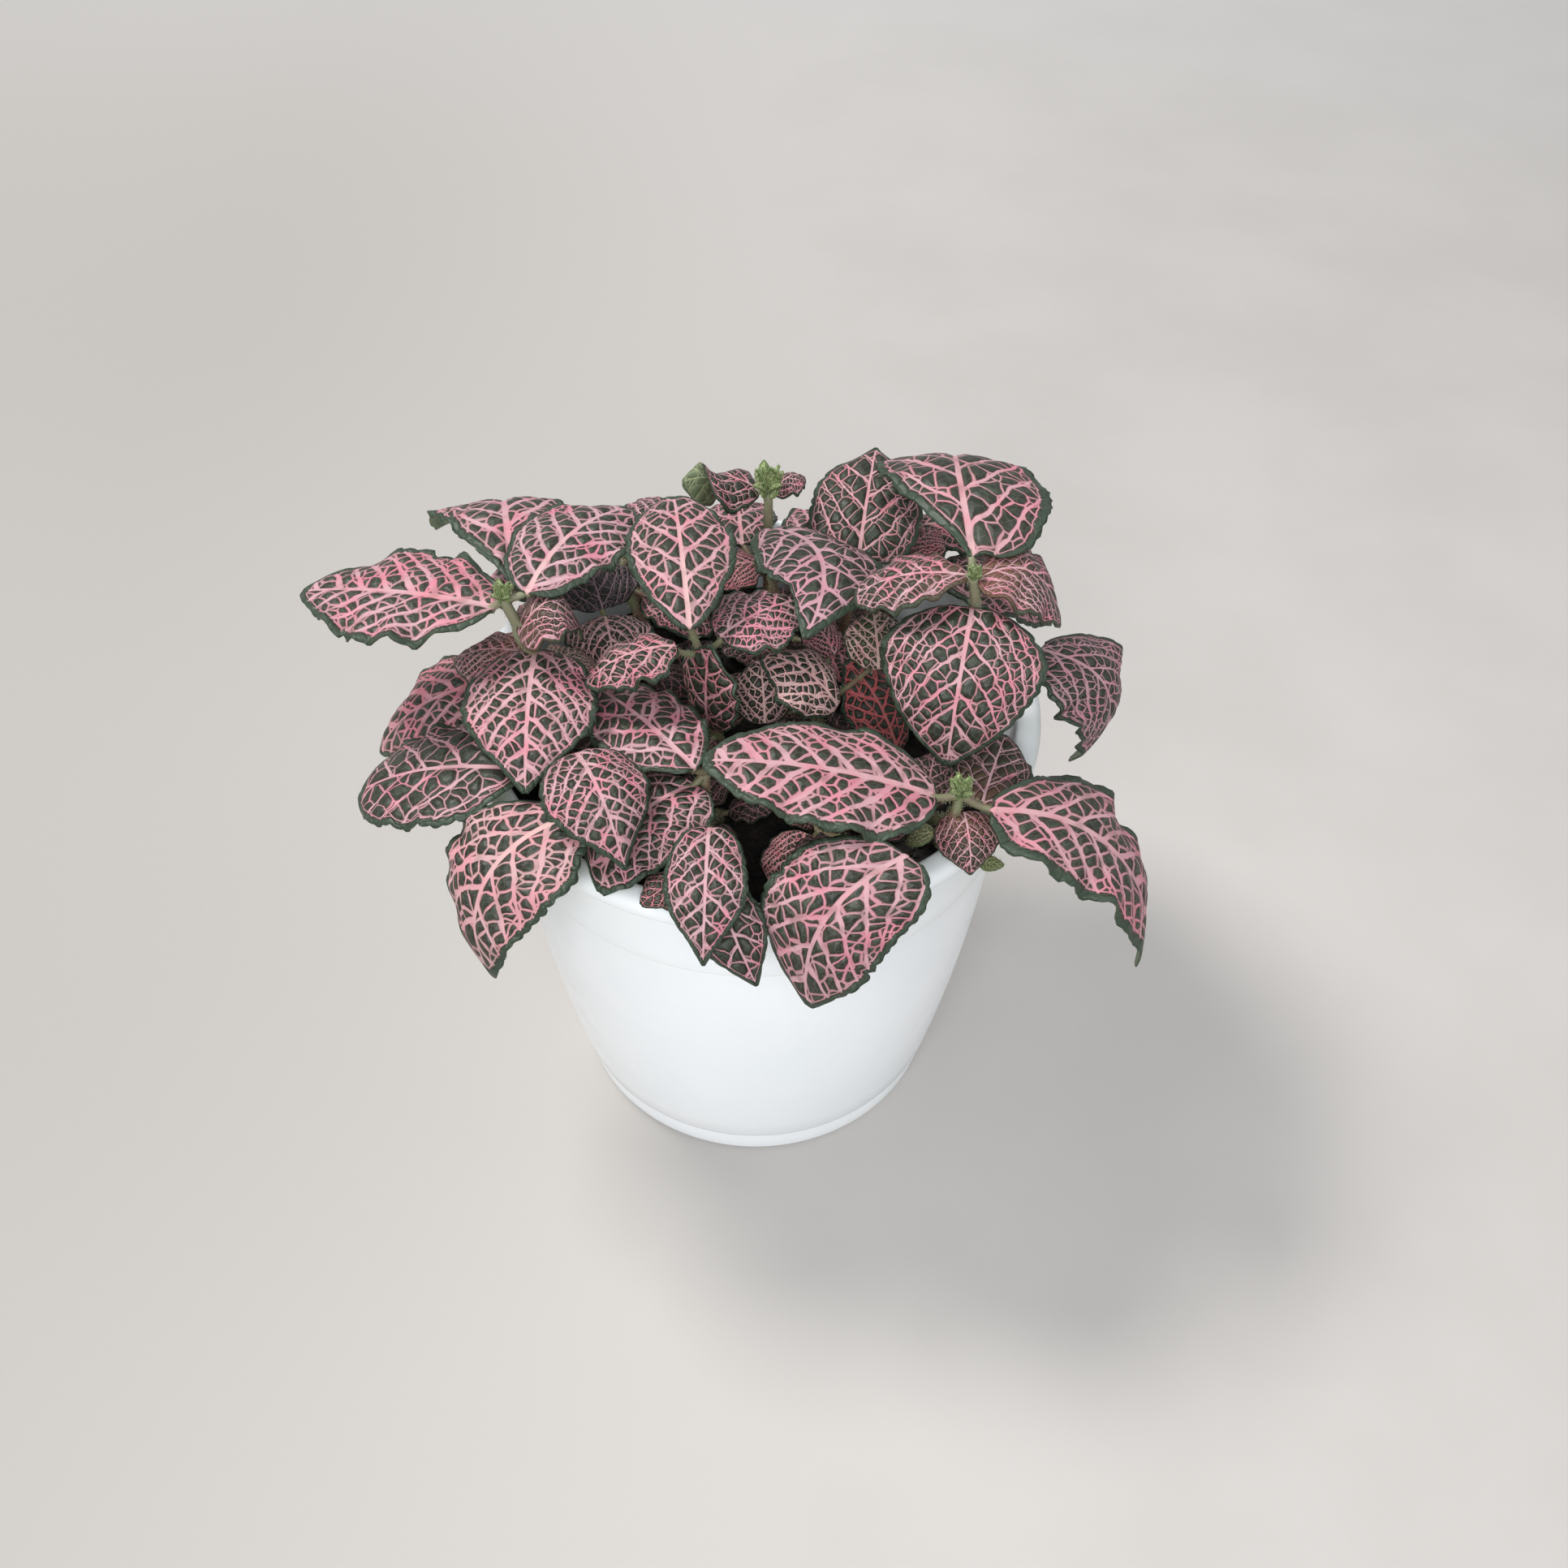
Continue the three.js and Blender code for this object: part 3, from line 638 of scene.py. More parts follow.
# A low mound with two sets of waves over it.
def soilHeight(x, y):
    distance = math.hypot(x, y) / (pot["rimInner"] - 1)
    wave = 0.5 * math.sin(x / 5.1 + 1.3) * math.cos(y / 4.3) + 0.35 * math.sin(x / 2.3 - y / 2.9)
    return soil["level"] + soil["mound"] * (1 - distance ** 2) + wave * soil["lumps"] - 0.4


def makeSoil():
    level, rings, gap = soil["level"], soil["rings"], soil["clearance"]
    inset = pot["wall"] + gap
    bottom, middle = pot["bodyBottom"], pot["collarBottom"]
    heights = np.linspace(bottom + 6, middle - 2, 6)
    base, collar = pot["base"] - inset, pot["collar"] - inset
    side = [(base, pot["floorTop"] + gap), (base, bottom + inset)]
    side.append((pot["bodyFoot"] - inset, bottom + inset + 0.6))
    side += [(bodyRadius(h) - inset, h) for h in heights]
    side += [(collar, middle), (collar + 0.3, level - 1)]
    top = [((collar + 0.3) * (1 - i / rings), level) for i in range(rings)]
    profile = [(0, side[0][1])] + side + top + [(0, level)]
    piece = turnedPiece("soilBed", profile, soil["sides"], pottingSoil)
    for vertex in piece.data.vertices:
        x, y, z = (value / mm for value in vertex.co)
        if z > level - 0.5:
            vertex.co.z = soilHeight(x, y) * mm
    piece.data.update()
    return piece


# Copies of a small lump or hair spread over the faces of a piece by Geometry Nodes.
def makeScatterTree(name, lump, material, seed):
    tree = bpy.data.node_groups.new(name, "GeometryNodeTree")
    face = tree.interface
    face.new_socket(name="Geometry", in_out="INPUT", socket_type="NodeSocketGeometry")
    for key in ("Density", "Smallest", "Largest", "Lean"):
        face.new_socket(name=key, in_out="INPUT", socket_type="NodeSocketFloat")
    face.new_socket(name="Geometry", in_out="OUTPUT", socket_type="NodeSocketGeometry")
    given = tree.nodes.new("NodeGroupInput").outputs
    inputs = {"Mesh": given["Geometry"], "Density": given["Density"], "Seed": seed}
    points = addNode(tree, "GeometryNodeDistributePointsOnFaces", inputs)
    wide = given["Lean"]
    narrow = maths(tree, "MULTIPLY", wide, -1.0)
    lean = addNode(tree, "FunctionNodeRandomValue", {"Seed": seed + 1}, data_type="FLOAT_VECTOR")
    plug(tree, lean.inputs[0], joinXyz(tree, narrow, narrow, -math.pi))
    plug(tree, lean.inputs[1], joinXyz(tree, wide, wide, math.pi))
    euler = addNode(tree, "FunctionNodeEulerToRotation", {0: lean.outputs[0]})
    inputs = {0: points.outputs["Rotation"], 1: euler.outputs[0]}
    turn = addNode(tree, "FunctionNodeRotateRotation", inputs, rotation_space="LOCAL")
    inputs = {"Seed": seed + 2, 2: given["Smallest"], 3: given["Largest"]}
    size = addNode(tree, "FunctionNodeRandomValue", inputs, data_type="FLOAT")
    shape = addNode(tree, "GeometryNodeObjectInfo", {0: lump})
    inputs = {"Points": points.outputs["Points"], "Instance": shape.outputs["Geometry"],
              "Rotation": turn.outputs[0], "Scale": size.outputs[1]}
    copies = addNode(tree, "GeometryNodeInstanceOnPoints", inputs)
    real = addNode(tree, "GeometryNodeRealizeInstances", {0: copies.outputs[0]})
    shaded = addNode(tree, "GeometryNodeSetMaterial", {"Geometry": real.outputs[0], "Material": material})
    plug(tree, tree.nodes.new("NodeGroupOutput").inputs[0], shaded.outputs[0])
    return tree


def scatterOver(name, base, tree, density, look):
    values = {"Density": density}
    values.update({key.capitalize(): look[key] for key in ("smallest", "largest", "lean")})
    piece = bpy.data.objects.new(name, base.data.copy())
    bpy.context.scene.collection.objects.link(piece)
    modifier = piece.modifiers.new("scatter", "NODES")
    modifier.node_group = tree
    for item in tree.interface.items_tree:
        if item.in_out == "INPUT" and item.name in values:
            modifier[item.identifier] = values[item.name]
    bakeModifiers(piece)
    print(name, len(piece.data.polygons), "faces")
    return piece


def makeCrumb():
    rng = random.Random(soil["seed"])
    corners = [(0, 0, 1), (0.9, 0, 0.3), (0.3, 0.85, 0.2), (-0.75, 0.5, 0.35), (-0.7, -0.55, 0.2),
               (0.25, -0.9, 0.3), (0.7, 0.5, -0.5), (-0.4, 0.7, -0.6), (-0.6, -0.4, -0.7), (0.4, -0.6, -0.6),
               (0, 0, -1)]
    points = [[c * soil["crumbSize"] * (0.75 + 0.5 * rng.random()) / 2 for c in corner] for corner in corners]
    faces = [(0, 1, 2), (0, 2, 3), (0, 3, 4), (0, 4, 5), (0, 5, 1), (1, 6, 2), (2, 6, 7), (2, 7, 3),
             (3, 7, 8), (3, 8, 4), (4, 8, 9), (4, 9, 5), (5, 9, 1), (1, 9, 6), (10, 7, 6), (10, 8, 7),
             (10, 9, 8), (10, 6, 9)]
    return newPiece("crumb", points, faces, [pottingSoil], smooth=False)


hair = {
    "density": 1.4, "from": 102, "seed": 11,  # hairs to the square millimetre, above this height
    "width": 0.05, "length": 0.85, "bend": 0.2, "smallest": 0.5, "largest": 1.1, "lean": 0.5,
    "budFresh": 0.8,  # leaves fresher than this are hairy too
}


# A bent three-sided spike.
def makeHair():
    angles = (0, 2.094, 4.189)
    width, length, bend = hair["width"], hair["length"], hair["bend"]
    points = [(width * math.cos(a), width * math.sin(a), 0) for a in angles]
    points += [(0.035 * math.cos(a) + 0.06, 0.035 * math.sin(a), 0.45) for a in angles]
    points.append((bend, 0, length))
    faces = [(2, 1, 0), (3, 4, 6), (4, 5, 6), (5, 3, 6)]
    faces += [(i, (i + 1) % 3, 3 + (i + 1) % 3, 3 + i) for i in range(3)]
    return newPiece("hair", points, faces, [fineHair])


# Every leaf by where its blade starts, where its tip is and how wide it is. From arch to ruffle, and curl to
# tuck, the values bend it. Belly, taper and skew set its outline, and the others its veins and colour.
# The third value from the end is painted shade: it darkens a leaf that lies in shadow towards the shade
# colour.
leafUsual = {
    "arch": 4, "sweep": 0, "roll": 0, "cup": -2.5, "ruffle": 0.6, "belly": 0.44, "taper": 0.35, "skew": 0,
    "ribs": 7.2, "net": 1.0, "cells": 16, "deep": 0.05, "pale": 0.15, "fresh": 0.0, "curl": 0.0, "notch": 0.0,
    "twist": 0, "tuck": 0.0, "dull": 0.0, "bronze": 0.0, "lilac": 0.0,
}


def leaf(start, tip, width, **shape):
    return {"from": start, "to": tip, "width": width, **leafUsual, **shape}


# Every shoot: its foot, the size of its bud, and its nodes from the lowest up, each with its leaves.
shoots = {
    "shoot_left": ((-24, 0), 0.6, [
        ((-45, -9, 136), [
            leaf((-45, -9, 137), (-45, -40, 128), 27, cup=-3, belly=0.36, taper=0.5, ribs=8, net=1.0,
                 cells=16),
            leaf((-48, -4, 132), (-64, 0, 126), 17, arch=2, cup=-3, net=0.85, bronze=1.0),
            leaf((-42, -7, 132), (-35, 0, 126), 12, arch=2, cup=-2, ruffle=0.4, pale=0.7, fresh=0.15),
        ]),
        ((-48, -9, 145), [
            leaf((-47, -12, 144), (-35, -7, 143), 16, arch=7, cup=-3, ruffle=1.0, belly=0.4, net=0.9,
                 ribs=5, cells=8, bronze=0.4, curl=1.5),
        ]),
        ((-50, -8, 150), [
            leaf((-52, -9, 149), (-94, 5, 141), 29, arch=2, cup=-1, ruffle=1.2, ribs=9, net=0.9, cells=19,
                 deep=0.12, notch=1),
            leaf((-49, 0, 147), (-57, 44, 131), 35, arch=9, cup=-2, ruffle=0.8, belly=0.5, taper=0.1,
                 skew=0.3, ribs=7),
            leaf((-45, -8, 152), (-27, 25, 147), 25, arch=3, sweep=2, cup=-2, belly=0.5, ribs=7, pale=0.5),
        ]),
    ]),
    "shoot_left_low": ((-30, -14), 0, [
        ((-46, -15, 116), [
            leaf((-51, -1, 121), (-83, -5, 104), 29, arch=6, cup=-3, ruffle=0.8, net=1.1, deep=0.2),
            leaf((-47, -30, 124), (-83, -23, 110), 29, roll=-4, cup=-2, belly=0.5, taper=0.1, ribs=5,
                 net=0.7, cells=11),
        ]),
    ]),
    "shoot_front_left": ((-22, -26), 0, [
        ((-37, -36, 118), [
            leaf((-36, -45, 127), (-54, -64, 101), 28, arch=6, sweep=-6, cup=-3, ruffle=0.8, belly=0.4,
                 ribs=6, pale=0.7, curl=1.0),
        ]),
        ((-34, -32, 129), [
            leaf((-35, -34, 133), (-25, -56, 124), 21, arch=6, cup=-4, belly=0.32, taper=0.6, ribs=7,
                 cells=15),
        ]),
    ]),
    "shoot_front": ((-8, -24), 0, [
        ((-10, -36, 117), [
            leaf((-9, -50, 129), (-10, -72, 115), 16, cup=-1.5, belly=0.35, taper=0.6, ribs=6.5, net=0.9),
            leaf((-9, -54, 121), (0, -71, 107), 13, arch=5, roll=20, cup=-1, ruffle=0.4, taper=0.6, ribs=5,
                 net=0.9, cells=9, pale=0.45),
            leaf((-14, -55, 119), (-22, -60, 118), 9, arch=1, cup=-0.5, ruffle=0.3, ribs=4, cells=8,
                 deep=0.3),
        ]),
        ((-10, -34, 127), [
            leaf((-12, -36, 126), (-30, -57, 118), 25, arch=2, sweep=-4, cup=-2, belly=0.4, ribs=6,
                 net=0.9, pale=0.2),
            leaf((-12, -36, 131), (-34, -8, 126), 22, arch=2, cup=-2, belly=0.5, taper=0.2, ribs=5.5),
        ]),
    ]),
    "shoot_centre": ((-6, -8), 0, [
        ((-10, -9, 118), [
            leaf((-10, -14, 120), (-9, -13, 142), 17, arch=1, cup=-1.5, ruffle=0.4, taper=0.5, ribs=4,
                 net=1.15, cells=8, deep=0.3, pale=0.25),
        ]),
        ((-11, -9, 136), [
            leaf((-13, -13, 147), (-17, 21, 153), 22, cup=-2, belly=0.55, taper=0.1, ribs=6, pale=0.5),
            leaf((-16, -14, 143), (-34, -19, 137), 14, arch=3, cup=-3, ruffle=1.0, ribs=6, deep=0.15),
            leaf((-7, -9, 141), (10, 3, 140), 19, arch=2, cup=-2, belly=0.4, ribs=6),
        ]),
    ]),
    "shoot_mid_left": ((-20, 12), 0, [
        ((-33, 15, 122), [
            # this leaf lies in deep shadow and gets strong painted shade
            leaf((-34, 19, 124), (-39, 33, 127), 20, arch=2, cup=-2, ribs=5, net=0.75, cells=9, deep=0,
                 lilac=1.0, dull=0.75),
            leaf((-33, 14, 126), (-30, -1, 124), 19, arch=3, cup=-2, taper=0.2, ribs=5, net=1.25, cells=10,
                 pale=0.75),
        ]),
    ]),
    "shoot_back": ((2, 24), 1.0, [
        ((3, 32, 122), [
            leaf((10, 41, 124), (24, 64, 112), 18, arch=5),
            leaf((-3, 42, 124), (-5, 68, 112), 18, arch=6, ribs=6),
        ]),
        ((3, 35, 144), [
            leaf((1, 37, 143), (-16, 40, 143), 16, arch=3, cup=-4, ribs=5, net=0.8, cells=9, twist=110),
            leaf((4, 36, 143), (11, 43, 142), 8, arch=2, cup=-2, ruffle=0.6, ribs=5),
        ]),
    ]),
    "shoot_mid_back": ((8, 8), 0, [
        ((6, 19, 116), [
            leaf((12, 17, 117), (26, 7, 112), 14, arch=2, cup=-2, deep=0.3),
        ]),
        ((3, 27, 132), [
            leaf((4, 30, 138), (10, -15, 146), 26, sweep=7, cup=-4, taper=0.6, ribs=7, net=0.75, lilac=0.5,
                 tuck=0.38),
            leaf((1, 32, 126), (-10, 29, 122), 14, arch=3, cup=-2, deep=0.3),
        ]),
    ]),
    "shoot_mid_right": ((14, -8), 0, [
        ((14, -5, 117), [
            leaf((2, -11, 118), (1, -1, 127), 14, arch=2, cup=-2, ribs=5, net=1.4, cells=10, pale=0.9),
            leaf((17, -14, 126), (2, -7, 134), 17, arch=3, cup=-3, ribs=5.5, net=1.3, cells=11, pale=0.85,
                 curl=0.5),
            leaf((26, -5, 128), (25, 7, 134), 14, arch=2, cup=-2, ribs=5, net=1.6, cells=9, pale=0.65,
                 fresh=0.12),
            leaf((17, 4, 124), (11, 11, 127), 10, arch=2, cup=-2, deep=0.2),
        ]),
    ]),
    "shoot_back_right": ((18, 20), 0, [
        ((22, 23, 125), [
            leaf((23, 26, 132), (28, 54, 142), 27, arch=3, cup=-3, belly=0.38, taper=0.7, ribs=5, net=0.68,
                 cells=11),
            leaf((34, 31, 128), (42, 39, 130), 13, arch=2, cup=-2, deep=0.3),
        ]),
    ]),
    "shoot_right": ((30, 8), 0.45, [
        ((33, 4, 110), [
            # painted shade darkens this low leaf a little
            leaf((31, -10, 108), (20, 4, 122), 16, arch=3, cup=-2, ribs=6, cells=12, deep=0.85, dull=0.2,
                 net=1.1),
        ]),
        ((46, -3, 134), [
            # painted shade darkens this leaf a little
            leaf((59, -8, 136), (71, -16, 112), 25, arch=8, sweep=5, cup=-3, ruffle=1.2, net=0.75,
                 curl=1.2, lilac=0.4, dull=0.15),
        ]),
        ((44, -9, 149), [
            leaf((43, -11, 150), (38, -33, 128), 32, arch=6, cup=-3, belly=0.38, taper=0.5, ribs=6.5,
                 net=0.72, cells=13),
        ]),
        ((43, -9, 156), [
            leaf((43, -4, 158), (45, 43, 145), 36, arch=9, sweep=2, cup=-3, belly=0.55, taper=0, skew=0.2,
                 ribs=5.8, net=0.72, cells=13),
            leaf((42, -8, 156), (20, -5, 148), 17, arch=3, cup=-2, belly=0.6, ribs=6, net=0.9, bronze=0.4),
            leaf((44, -9, 156), (61, -11, 146), 21, sweep=5, cup=-2, ruffle=1, belly=0.5, net=0.85,
                 cells=11, bronze=0.8),
        ]),
    ]),
    "shoot_right_front": ((30, -24), 0.7, [
        ((38, -41, 121), [
            leaf((41, -42, 124), (42, -52, 117), 13, arch=2, cup=-2, ruffle=0.4, belly=0.35, taper=0.5,
                 ribs=5, cells=9, bronze=0.7),
            leaf((44, -48, 116), (49, -49, 116), 4, arch=0, cup=0, ruffle=0, fresh=0.8, ribs=4),
            leaf((35, -45, 121), (30, -44, 117), 6, arch=1, cup=0, ruffle=0, fresh=0.6, ribs=4),
        ]),
        ((40, -41, 128), [
            leaf((35, -42, 129), (-10, -41, 138), 29, arch=3, cup=-2, ruffle=0.8, taper=0.25, ribs=8.5,
                 net=0.98, cells=18),
            leaf((46, -44, 127), (82, -54, 92), 28, arch=8, sweep=7, cup=-2, ruffle=1.4, ribs=9, net=0.78,
                 cells=20, curl=1.2),
            leaf((45, -38, 121), (52, -19, 122), 16, arch=1, cup=-2, ribs=5, net=0.8, cells=9, bronze=0.5),
        ]),
    ]),
    "shoot_front_right": ((12, -30), 0, [
        ((24, -44, 116), [
            leaf((28, -58, 130), (10, -73, 103), 28, arch=6, sweep=-6, roll=-25, cup=-3, belly=0.42,
                 ribs=6, net=0.95, notch=0.5),
            leaf((10, -37, 112), (5, -47, 104), 14, arch=2, cup=-2, ruffle=0.3, deep=0.3),
        ]),
    ]),
    "shoot_rear_left": ((-22, 24), 0, [
        ((-30, 34, 119), [
            leaf((-31, 41, 123), (-39, 69, 107), 23, arch=5, ribs=7),
            leaf((-38, 36, 121), (-67, 38, 109), 20, arch=6),
            leaf((-25, 28, 120), (-10, 20, 115), 14, arch=3, cup=-2, deep=0.2),
        ]),
        ((-27, 37, 127), [
            leaf((-25, 41, 127), (-20, 61, 121), 17),
        ]),
    ]),
    "shoot_rear_right": ((26, 28), 0, [
        ((35, 37, 119), [
            leaf((37, 43, 123), (46, 67, 107), 22, arch=5, ribs=6),
            leaf((43, 33, 123), (70, 31, 109), 21, arch=5, net=0.85),
        ]),
        ((33, 42, 128), [
            leaf((31, 46, 130), (20, 66, 122), 17, taper=0.5, ribs=6),
            leaf((39, 45, 127), (60, 45, 121), 16, arch=3, ribs=6, deep=0.2),
        ]),
    ]),
}

blade = {
    "fullness": 1.25, "taperStart": 0.6, "end": 0.015, "crowd": 0.85,  # columns stand closer at the margins
    "ruffles": 3, "fineRuffle": 0.5, "fineRate": 1.9, "frills": 5.3, "frill": 0.85, "uneven": 0.058,
    "teeth": 2.6, "toothDepth": 0.055, "toothFrom": 0.55, "tears": ((0.62, 0.012, 0.16), (0.43, 0.02, 0.14)),
    "thickness": 0.7, "rimThickness": 0.4, "rib": 0.55, "ribWidth": 0.8,
    "quilt": 0.45, "channel": 0.7, "channelWidth": 1.6, "curlFrom": 0.72, "curl": 3.0,
    "twistFrom": 0.3, "twistOver": 0.5, "tuckFrom": 0.3, "tuckOver": 0.35,
    "frillLength": 35, "quiltLength": 30, "ribLength": 25, "detailLength": 60,  # shorter leaves get less
    "rows": 60, "columns": 26,
}
leafKeys = ("leafSpot", "leafEdge", "leafLook", "leafTint", "leafMood")
bladeSlot, stemSlot = 0, 1


def leafAxes(one):
    base, tip = Vector(one["from"]), Vector(one["to"])
    along = tip - base
    length = along.length
    along.normalize()
    left = Vector((0, 0, 1)).cross(along).normalized()
    left = Matrix.Rotation(math.radians(one["roll"]), 3, along) @ left
    return np.array(base), np.array(along), np.array(left), np.array(along.cross(left)), length


# How much of its half width the blade has at s along it, on the side that the sign of u names.
def outline(one, s, u):
    t = blade["end"] + (1 - 2 * blade["end"]) * s
    widest = one["belly"] + one["skew"] * np.sign(u)
    rise, fall = blade["fullness"] * widest, blade["fullness"] * (1 - widest)
    full = (t / widest) ** rise * ((1 - t) / (1 - widest)) ** fall
    drawn = np.maximum(0, (t - blade["taperStart"]) / (1 - blade["taperStart"])) ** 2
    return full * (1 - one["taper"] * drawn)


# From 0 at the start to 1 past it by the given stretch.
def rising(value, start, over):
    return np.clip((value - start) / over, 0, 1)


# The middle of the blade at s along the midrib and u across it: places, and the distance from the midrib.
def bladePoints(one, axes, s, u, seed):
    base, along, left, up, length = axes
    bow = 4 * s * (1 - s)
    far = np.abs(u)
    reach = outline(one, s, u)
    turns = 2 * np.pi * blade["ruffles"]
    fine = blade["fineRuffle"] * np.sin(turns * blade["fineRate"] * s + seed * 9 + u)
    wave = one["ruffle"] * (np.sin(turns * s) * u * far + fine * far ** 3) * reach
    frill = np.sin(2 * np.pi * (blade["frills"] * s + seed * 7 + 0.35 * np.sign(u)))
    wave += blade["frill"] * min(1, length / blade["frillLength"]) * frill * far ** 5 * reach
    lateral = one["width"] / 2 * reach * u
    out = np.abs(lateral) / length
    rise = s - out * (veinShape["lean"] + veinShape["bend"] * out) + veinShape["ribStart"]
    level = one["ribs"] * np.maximum(rise, 0) ** veinShape["ribPower"]
    level = level + veinShape["sideShift"] * np.sign(u) + seed
    furrow = np.abs(level - np.floor(level + 0.5)) * 2
    size = min(1, length / blade["quiltLength"])
    quilt = blade["quilt"] * size * furrow ** 0.7 * np.minimum(out / 0.05, 1) * (1 - far ** 4)
    channel = blade["channel"] * size * np.exp(-(lateral / blade["channelWidth"]) ** 2)
    channel = channel * np.clip(1.3 - s, 0, 1)
    tipCurl = one["curl"] * blade["curl"] * rising(s, blade["curlFrom"], 1 - blade["curlFrom"]) ** 2
    lift = one["arch"] * bow + one["cup"] * far ** 1.8 * reach + wave + quilt - channel - tipCurl
    turn = np.radians(one["twist"]) * rising(s, blade["twistFrom"], blade["twistOver"]) ** 1.5
    spread = lateral * (1 + blade["uneven"] * np.sin(9 * s + 3 * np.sign(u) + seed * 40) * far)
    across = one["sweep"] * bow + spread * np.cos(turn)
    lift = lift + spread * np.sin(turn)
    place = base + s[..., None] * length * along + across[..., None] * left + lift[..., None] * up
    return place, lateral


# The share of the plain outline that is left between teeth, in tears and where a side is tucked under.
def marginShare(one, length, s, u, seed):
    far = np.abs(u)
    teeth = max(4, round(length / blade["teeth"]))
    phase = s * teeth + 0.15 * np.sin(9 * s + seed * 20)
    scallop = 1 - np.abs(np.sin(np.pi * phase)) ** 0.6
    depth = blade["toothDepth"] * (0.7 + 0.5 * np.sin(13 * s + seed * 31) ** 2)
    torn = [amount * np.exp(-((s - at) / wide) ** 2) for at, wide, amount in blade["tears"]]
    ragged = one["notch"] * (torn[0] * (u > 0) + torn[1] * (u < 0))
    share = 1 - (depth * scallop + ragged) * rising(far, blade["toothFrom"], 1 - blade["toothFrom"])
    tucked = rising(s, blade["tuckFrom"], blade["tuckOver"]) ** 2 * np.clip((1.04 - s) / 0.3, 0, 1) * (u < 0)
    return share * (1 - one["tuck"] * tucked * far)


def makeBlade(one, seed):
    axes = leafAxes(one)
    length = axes[4]
    size = min(1, 0.45 + length / blade["detailLength"])
    rows, columns = int(blade["rows"] * size), 2 * int(blade["columns"] * size / 2) + 1
    s = np.repeat(np.linspace(0, 1, rows)[:, None], columns, 1)
    u = np.repeat(np.linspace(-1, 1, columns)[None, :], rows, 0)
    u = np.sign(u) * np.abs(u) ** blade["crowd"]
    far = np.abs(u)
    v = u * marginShare(one, length, s, u, seed)
    place, lateral = bladePoints(one, axes, s, v, seed)
    step = 0.01  # the surface's direction comes from places this far apart
    ahead, behind = np.minimum(s + step, 1), np.maximum(s - step, 0)
    forward = bladePoints(one, axes, ahead, v, seed)[0] - bladePoints(one, axes, behind, v, seed)[0]
    sideways = bladePoints(one, axes, s, v + step, seed)[0] - bladePoints(one, axes, s, v - step, seed)[0]
    normal = np.cross(forward, sideways)
    normal /= np.linalg.norm(normal, axis=-1, keepdims=True)
    thick = blade["rimThickness"] + (blade["thickness"] - blade["rimThickness"]) * (1 - far ** 3)
    ridge = blade["rib"] * np.exp(-(lateral / blade["ribWidth"]) ** 2) * (1 - 0.8 * s)
    ridge = ridge * min(1, length / blade["ribLength"])
    top = place + normal * (thick / 2)[..., None]
    bottom = place - normal * (thick / 2 + ridge)[..., None]
    points = np.concatenate([top.reshape(-1, 3), bottom.reshape(-1, 3)])
    count = rows * columns
    ids = np.arange(count).reshape(rows, columns)
    corners = [part.ravel() for part in (ids[:-1, :-1], ids[1:, :-1], ids[1:, 1:], ids[:-1, 1:])]
    faces = [tuple(quad) for quad in np.stack(corners, 1).tolist()]
    faces += [(w + count, z + count, y + count, x + count) for x, y, z, w in faces]
    for line, flip in ((ids[:, 0], False), (ids[:, -1], True), (ids[0, :], True), (ids[-1, :], False)):
        for p, q in zip(line[:-1].tolist(), line[1:].tolist()):
            quad = (p, p + count, q + count, q)
            faces.append(quad[::-1] if flip else quad)
    edge = (1 - far) * outline(one, s, u) * one["width"] / 2 / length
    edge = np.minimum(edge, np.minimum(s * 1.5 + 0.03, (1 - s) * 0.9))

    # one vector to each point, first on the upper face and then on the lower one
    def bothFaces(x, y, z, lowerY=None):
        sides = ((x, y, z), (x, y if lowerY is None else lowerY, z))
        return np.concatenate([np.stack([np.broadcast_to(value, s.shape).ravel() for value in side], 1)
                               for side in sides])

    values = (bothFaces(s, lateral / length, v), bothFaces(edge, 0.0, one["fresh"], 1.0),
              bothFaces(seed, one["ribs"], one["net"]), bothFaces(one["cells"], one["deep"], one["pale"]),
              # the last vector carries the painted shade and the bronze and lilac tints
              bothFaces(one["dull"], one["bronze"], one["lilac"]))
    return points, faces, dict(zip(leafKeys, values)), bladeSlot


def curvePoint(p0, p1, p2, p3, t):
    return 0.5 * (2 * p1 + (p2 - p0) * t + (2 * p0 - 5 * p1 + 4 * p2 - p3) * t * t
                  + (3 * p1 - p0 - 3 * p2 + p3) * t ** 3)


# A round tube of changing radius along a smooth curve through the points.
def makeTube(knots, radii, sides, steps):
    knots = [np.array(k, float) for k in knots]
    ends = [2 * knots[0] - knots[1]] + knots + [2 * knots[-1] - knots[-2]]
    path, wide = [], []
    for i in range(1, len(ends) - 2):
        for t in np.linspace(0, 1, steps, endpoint=False):
            path.append(curvePoint(*ends[i - 1:i + 3], t))
            wide.append(radii[i - 1] + (radii[i] - radii[i - 1]) * t)
    path.append(knots[-1])
    wide.append(radii[-1])
    points, faces = [], []
    reference = np.array([0.3, 1.0, 0.1])  # a direction that no stem runs in
    for i, place in enumerate(path):
        ahead = path[min(i + 1, len(path) - 1)] - path[max(i - 1, 0)]
        ahead = ahead / np.linalg.norm(ahead)
        sideA = np.cross(ahead, reference)
        sideA /= np.linalg.norm(sideA)
        sideB = np.cross(ahead, sideA)
        for j in range(sides):
            angle = 2 * math.pi * j / sides
            points.append(place + wide[i] * (math.cos(angle) * sideA + math.sin(angle) * sideB))
    last = (len(path) - 1) * sides
    for low in range(0, last, sides):
        for j in range(sides):
            k = (j + 1) % sides
            faces.append((low + j, low + k, low + sides + k, low + sides + j))
    faces.append(tuple(range(sides))[::-1])
    faces.append(tuple(range(last, last + sides)))
    blank = np.zeros((len(points), 3))
    return np.array(points), faces, {key: blank for key in leafKeys}, stemSlot


